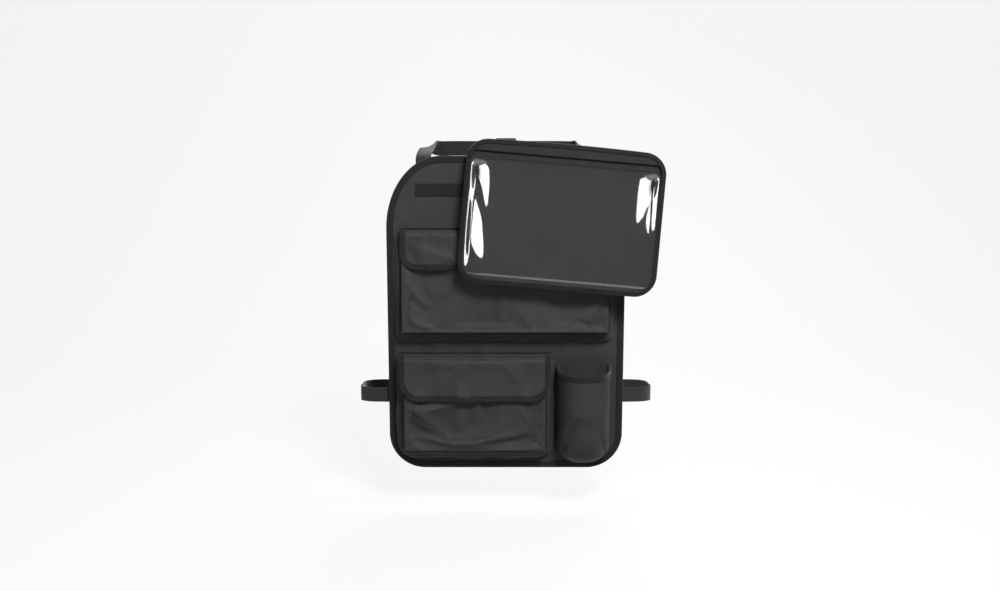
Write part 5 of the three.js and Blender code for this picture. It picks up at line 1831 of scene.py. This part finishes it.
@dataclass
class Straps:
    """The strap between the shoulders, the elastic belt and their adjusters."""

    panel: Panel
    webbing_width: float = 24 * MM
    webbing_thickness: float = 1.4 * MM
    attach_x: float = 130 * MM
    seam: float = 40 * MM
    lean: float = 9 * MM
    rise: float = 8 * MM
    edge_bend: float = 1 * MM
    leg_bend: float = 9 * MM
    behind: float = -84 * MM
    elastic_width: float = 24.5 * MM
    elastic_thickness: float = 1.6 * MM
    elastic_height: float = 121.5 * MM
    far_drop: float = 14 * MM
    elastic_dip: float = 1 * MM
    elastic_seam: float = 24 * MM
    loop_half: float = 239 * MM
    far: float = -112 * MM
    bend_radius: float = 30 * MM
    patch: float = 0.9 * MM
    patch_margin: float = 5 * MM
    adjuster_thickness: float = 3 * MM
    bar: float = 3.6 * MM
    slot: float = 11.5 * MM
    loop_length: float = 30 * MM
    loop_ease: float = 1.5 * MM
    tail_length: float = 46 * MM
    seams: Seams = field(default_factory=lambda: Seams("strap_stitches"))

    @property
    def layer(self) -> float:
        """How far out the outer side of a band sewn behind the panel lies."""
        return -(2 * SEAM_GAP + self.patch)

    def sweep(self, name: str, route: Route, section: np.ndarray, finish: Woven, ribs: Ribs,
              node: str) -> None:
        """Makes a flat band along a route.

        Args:
            name: The piece's name.
            route: Rows of a place and the direction of the band's width.
            section: The band's section.
            finish: Webbing or elastic.
            ribs: The ribs along it.
            node: The node that it stands for.
        """
        path = smooth_path(np.array(route, float), 2 * MM)
        place = path[:, :3]
        tangent = np.gradient(place, axis=0)
        tangent /= np.linalg.norm(tangent, axis=1, keepdims=True)
        wide = path[:, 3:] - tangent * (path[:, 3:] * tangent).sum(axis=1, keepdims=True)
        wide /= np.linalg.norm(wide, axis=1, keepdims=True)
        normal = np.cross(wide, tangent)
        rings = place[:, None] + wide[:, None] * section[:, :1] + normal[:, None] * section[:, 1:]
        across = np.tile(section[:, 0] / np.ptp(section[:, 0]) + 0.5, len(place))
        add_band(name, rings, finish, node, across=across, ribs=ribs)

    def sewn_loop(self, thickness: float) -> list[tuple[float, float]]:
        """Gives the x and z, about an adjuster, of a band sewn in a loop round its left bar."""
        bar = self.slot + self.bar
        layer = self.adjuster_thickness / 2 + SEAM_GAP + thickness / 2
        turn = bar - self.bar / 2 - SEAM_GAP - thickness
        return [
            (-bar - self.loop_length, layer), (-bar - self.bar, layer), (-bar, layer),
            (-turn, layer * 0.7), (-turn + thickness / 2, 0), (-turn, -layer * 0.7),
            (-bar, -layer), (-bar - self.bar, -layer),
            (-bar - self.loop_length / 2, layer - thickness - self.loop_ease),
            (-bar - self.loop_length, layer - thickness - 2 * SEAM_GAP),
        ]

    def threaded_tail(self, thickness: float) -> list[tuple[float, float]]:
        """Gives the x and z, about an adjuster, of a band threaded through its right side, from its tail."""
        bar = self.slot + self.bar
        layer = self.adjuster_thickness / 2 + SEAM_GAP + thickness / 2
        tail = layer + thickness + 2 * SEAM_GAP
        turn = self.bar / 2 + SEAM_GAP + thickness
        return [
            (self.tail_length, -tail), (bar + self.bar, -tail), (bar, -tail),
            (turn + thickness, -tail * 0.9), (0, -layer), (-turn + thickness / 2, -layer * 0.8),
            (-turn - thickness / 2, 0), (-turn + thickness / 2, layer * 0.8), (0, layer),
            (turn, layer * 0.8), (bar - self.bar - thickness, -layer * 0.6), (bar, -layer),
            (bar + self.bar, -layer), (self.tail_length, -layer),
        ]

    def add_halves(self, kind: str, leg: Route, centre: tuple[float, float], size: tuple[float, float, int],
                   finish: Woven, ribs: Ribs, node: str) -> None:
        """Makes a band's left half, sewn round its adjuster's bar, and its right one, threaded through it.

        Args:
            kind: What the pieces are called after their side.
            leg: The route of the left half, from its sewn end to the adjuster.
            centre: The height and level of the adjuster.
            size: The band's width, its thickness and the steps across its section.
            finish: Webbing or elastic.
            ribs: The ribs along it.
            node: What the nodes are called after their side.
        """
        width, thickness, across = size
        section = tape_section(width, thickness, across)
        loop, tail = ([[x, centre[0], centre[1] + z, 0, 1, 0] for x, z in line]
                      for line in (self.sewn_loop(thickness), self.threaded_tail(thickness)))
        other = [[-x, y, z, -a, b, c] for x, y, z, a, b, c in reversed(leg)]
        for side, route in (("left", leg + loop), ("right", tail + other)):
            self.sweep(f"{side}_{kind}", route, section, finish, ribs, f"{side}_{node}")

    def build(self) -> None:
        """Makes the strap, the elastic, the patches and the stitches that hold them."""
        self.add_strap()
        self.add_elastic()
        self.dress_adjusters()
        self.seams.sew()

    def add_strap(self) -> None:
        """Makes the webbing strap and its two patches."""
        leg_layer = self.layer - self.webbing_thickness / 2
        run = PANEL_HEIGHT + self.rise
        top = self.panel.shoulder_top(self.attach_x, 0)
        x, behind = -self.attach_x, self.behind
        leg = [
            [x, top - self.seam, leg_layer, 1, 0, 0],
            [x, top - BINDING, leg_layer, 1, 0, 0],
            [x, top + self.edge_bend, leg_layer - self.edge_bend, 1, 0, 0],
            [x + self.edge_bend, top + self.rise, leg_layer - self.leg_bend, 1, 0, 0],
            [x + 0.5 * self.lean, run + 0.25 * self.rise, behind * 0.5, 1, 0, 0],
            [x + self.lean, run + 0.5 * self.rise, behind * 0.8, 0.8, 0.6, 0],
            [x + 2.4 * self.lean, run, behind * 0.97, 0.1, 1, 0],
            [x + 5 * self.lean, run, behind, 0, 1, 0],
        ]
        self.add_halves("strap", leg, (run, behind), (self.webbing_width, self.webbing_thickness, 36),
                        WEBBING, Ribs(8, 0.14 * MM), "headrest_strap")
        width = self.webbing_width + 2 * self.patch_margin
        bottom = top - self.seam - self.patch_margin
        patch_top = self.panel.shoulder_top(self.attach_x + width / 2, self.panel.binding) - SEAM_GAP
        self.add_patches("strap", strip_at(self.attach_x, width, bottom, patch_top - bottom))
        tall = self.seam - BINDING - 6 * MM
        self.box_stitch(strip_at(self.attach_x, self.webbing_width - 6 * MM,
                                 top - (self.seam + BINDING + tall) / 2, tall), self.webbing_thickness)

    def add_patches(self, name: str, right: Pattern) -> None:
        """Makes the patch under a band's right end on the panel's back, and its mirror image."""
        left = replace(right, left=-right.right, right=-right.left)
        for side, area in (("left", left), ("right", right)):
            x, y = area.grid(2.5 * MM)
            wave = np.minimum(0.15 * MM * ripples(x, y, 18 * MM, 61), 0.1 * MM)
            front, back = (together(x, y, level - SEAM_GAP) for level in (0.0, wave - self.patch))
            patch = add_sheet(f"{side}_{name}_patch", front, back, POLYESTER, f"{side}_{name}_anchor_patch")
            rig.sheet(patch, flat=area.flat, held="stretched", rests_on=["panel_cloth"])
            self.seams.add(together(*area.ring(1.8 * MM).T, -SEAM_GAP - self.patch), closed=True)

    def box_stitch(self, box: Pattern, thickness: float) -> None:
        """Sews a box with a cross in it through a band's right end, and through its left one."""
        for sign in (-1, 1):
            shift = (sign - 1) / 2 * (box.left + box.right)
            ring = together(*(box.ring() + (shift, 0)).T, self.layer - thickness)
            self.seams.add(ring, closed=True)
            self.seams.add(ring[[0, 2]])
            self.seams.add(ring[[1, 3]])

    def add_elastic(self) -> None:
        """Makes the ribbed elastic belt and its two patches."""
        layer = self.layer - self.elastic_thickness / 2
        front = layer - 3 * self.elastic_dip
        edge, far, radius = self.loop_half, self.far, self.bend_radius
        start = PANEL_WIDTH / 2 - self.panel.binding - self.elastic_seam
        turns = np.linspace(0, math.pi / 2, 5)
        line = [(start, layer), (start + self.elastic_seam, layer),
                (PANEL_WIDTH / 2, layer - self.elastic_dip)]
        line += [(edge - radius * (1 - math.sin(t)), front - radius * (1 - math.cos(t))) for t in turns]
        line += [(edge, far / 2)]
        line += [(edge - radius * (1 - math.cos(t)), far + radius * (1 - math.sin(t))) for t in turns]
        line += [(edge / 2, far)]
        leg = [[-x, self.elastic_height - self.far_drop * min(1.0, max(0.0, (layer - z) / (layer - far))),
                z, 0, 1, 0] for x, z in line]
        self.add_halves("elastic", leg, (self.elastic_height - self.far_drop, far),
                        (self.elastic_width, self.elastic_thickness, 60), ELASTIC, Ribs(12, 0.28 * MM),
                        "seat_elastic")
        middle, tall = start + self.elastic_seam / 2, self.elastic_width + 2 * self.patch_margin
        self.add_patches("elastic", strip_at(middle - SEAM_GAP, self.elastic_seam - SEAM_GAP,
                                             self.elastic_height - tall / 2, tall))
        tall = self.elastic_width - 5 * MM
        self.box_stitch(strip_at(middle, self.elastic_seam - 5 * MM, self.elastic_height - tall / 2, tall),
                        self.elastic_thickness)

    def dress_adjusters(self) -> None:
        """Rounds the edges of the frame's two adjusters and gives them their plastic."""
        for name in ("headrest_strap_adjuster", "seat_elastic_adjuster"):
            node = frame["nodes"][name]
            node.data.materials.clear()
            node.data.materials.append(material_of(PLASTIC))
            node.modifiers.new("weld", "WELD").merge_threshold = 0.01 * MM
            bevel = node.modifiers.new("bevel", "BEVEL")
            bevel.width, bevel.segments = 0.5 * MM, 2
            bevel.limit_method, bevel.angle_limit = "ANGLE", math.radians(40)
            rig.slot(node, PLASTIC.slot)
            log.info("%s dressed", name)


# Studio


@dataclass(frozen=True)
class Lamp:
    """A soft box that points at the object: where it stands, its width and height, and its watts.

    One that doesn't light cloth is there for the film's gloss alone.
    """

    name: str
    azimuth: float
    elevation: float
    distance: float
    size: tuple[float, float]
    watts: float
    lights_cloth: bool = True

    def build(self) -> None:
        """Makes the lamp."""
        data = bpy.data.lights.new(self.name, "AREA")
        data.shape, data.size, data.size_y, data.energy = "RECTANGLE", *self.size, self.watts
        turn, rise = math.radians(self.azimuth), math.radians(self.elevation)
        way = Vector((math.cos(rise) * math.sin(turn), -math.cos(rise) * math.cos(turn), math.sin(rise)))
        lamp = put(self.name, data)
        lamp.visible_diffuse = self.lights_cloth
        lamp.location = way * self.distance
        lamp.rotation_euler = way.to_track_quat("Z", "Y").to_euler()


@dataclass
class Studio:
    """The camera, the lights, the pale floor and the backdrop."""

    target: tuple[float, float, float] = (-9.6 * MM, 0.0, 31.9 * MM)
    distance: float = 1750 * MM
    elevation: float = 10
    lens: float = 39.4
    floor_drop: float = 320 * MM
    floor_front: float = -6.0
    floor_half: float = 7.0
    backdrop: float = 1.6
    backdrop_bend: float = 0.9
    backdrop_top: float = 4.0
    surround: float = 0.16
    ambient: float = 0.05

    def build(self) -> None:
        """Makes the whole studio."""
        self.add_camera()
        self.add_floor()
        for lamp in (
            Lamp("key", 22, 44, 1.9, (0.55, 0.4), 64),
            Lamp("left box", -35, 14, 1.7, (0.8, 1.5), 26, lights_cloth=False),
            Lamp("right box", 39, 12, 1.7, (0.8, 1.5), 24, lights_cloth=False),
            Lamp("fill", -40, 15, 1.9, (0.8, 0.8), 1.5),
            Lamp("rear", 155, 52, 1.45, (0.9, 0.7), 24),
        ):
            lamp.build()
        self.add_world()
        bpy.context.scene.view_settings.view_transform = "Standard"

    def add_camera(self) -> None:
        """Puts the camera at the photograph's viewing angle."""
        data = bpy.data.cameras.new("camera")
        data.lens, data.sensor_width, data.clip_end = self.lens, 36, 50
        camera = put("camera", data)
        rise = math.radians(self.elevation)
        back = Vector((0, -math.cos(rise), math.sin(rise)))
        camera.location = Vector(self.target) + back * self.distance
        camera.rotation_euler = back.to_track_quat("Z", "Y").to_euler()
        bpy.context.scene.camera = camera

    def add_floor(self) -> None:
        """Makes a floor that curves up into a backdrop."""
        level, bend = -self.floor_drop, self.backdrop_bend
        turn = np.linspace(0, math.pi / 2, 16)
        curve = together(self.backdrop - bend + bend * np.sin(turn), level + bend * (1 - np.cos(turn)))
        profile = np.concatenate([[(self.floor_front, level)], curve, [(self.backdrop, self.backdrop_top)]])
        points = together(np.array([-self.floor_half, self.floor_half]), *profile.T[:, :, None])
        mesh = mesh_of("floor", points, [], grid_faces(len(profile), 2).tolist())
        mesh.shade_smooth()
        mesh.materials.append(material_of(StudioPaper()))
        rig.stage(put("floor", mesh))

    def add_world(self) -> None:
        """Makes a plain pale surround."""
        world = bpy.data.worlds.new("surround")
        shading = Shading(world)
        seen = shading.math("MULTIPLY", shading.white_light(), self.surround)
        shading.set(Color=(1, 1, 1, 1), Strength=shading.math("ADD", seen, self.ambient))
        bpy.context.scene.world = world


def lower_pocket(left: float, right: float) -> BoxPocket:
    """Gives the deep lower pocket."""
    return BoxPocket(
        "lower", left, right, bottom=19 * MM, flap_top=191.5 * MM, depth=34 * MM, mouth_depth=20 * MM,
        side_taper=12 * MM, bottom_taper=19.5 * MM, base_radius=34 * MM, crown=4 * MM,
        flap_drop=72 * MM, flap_radius=32 * MM, seed=71, creases=(
            Crease(0, (20, 16), (60, 30), 9, 1.6),
            Crease(0, (8, 22), (16, 78), 8, -2),
            Crease(1, (-12, 18), (-46, 64), 9, -2.2),
        ))


def upper_pocket(left: float, right: float, flap_top: float) -> BoxPocket:
    """Gives the wide upper pocket."""
    return BoxPocket(
        "upper", left, right, bottom=214.5 * MM, flap_top=flap_top, depth=25 * MM, mouth_depth=10 * MM,
        side_taper=6 * MM, bottom_taper=16 * MM, base_radius=12 * MM, crown=3 * MM,
        flap_drop=62 * MM, flap_radius=24 * MM, seed=83, creases=(
            Crease(0, (3, 10), (17, 66), 7, -2.6),
            Crease(0, (12, 14), (24, 52), 7, 1.6),
            Crease(1, (-22, 12), (-70, 24), 8, -1.8),
        ))


def main() -> None:
    """Builds the studio and every part of the organizer, in order."""
    logging.basicConfig(level=logging.INFO, format="%(name)s: %(message)s")
    Studio().build()
    panel = Panel()
    panel.build()
    half = PANEL_WIDTH / 2
    bottle_left = half - 22 * MM - 85 * MM
    lower = lower_pocket(-half + 14 * MM, bottle_left - 7 * MM)
    upper = upper_pocket(-half + 18 * MM, half - 21 * MM, panel.tape_bottom - 52 * MM)
    lower.build()
    upper.build()
    BottlePocket(bottle_left).build()
    ClearCase(panel, upper).build()
    Straps(panel).build()
    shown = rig.bounds()
    with open("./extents.json", "w", encoding="utf-8") as file:
        json.dump({"cad": [list(corner) for corner in CAD_BOX],
                   "visual": [list(corner) for corner in shown]}, file)


if __name__ == "__main__":
    main()
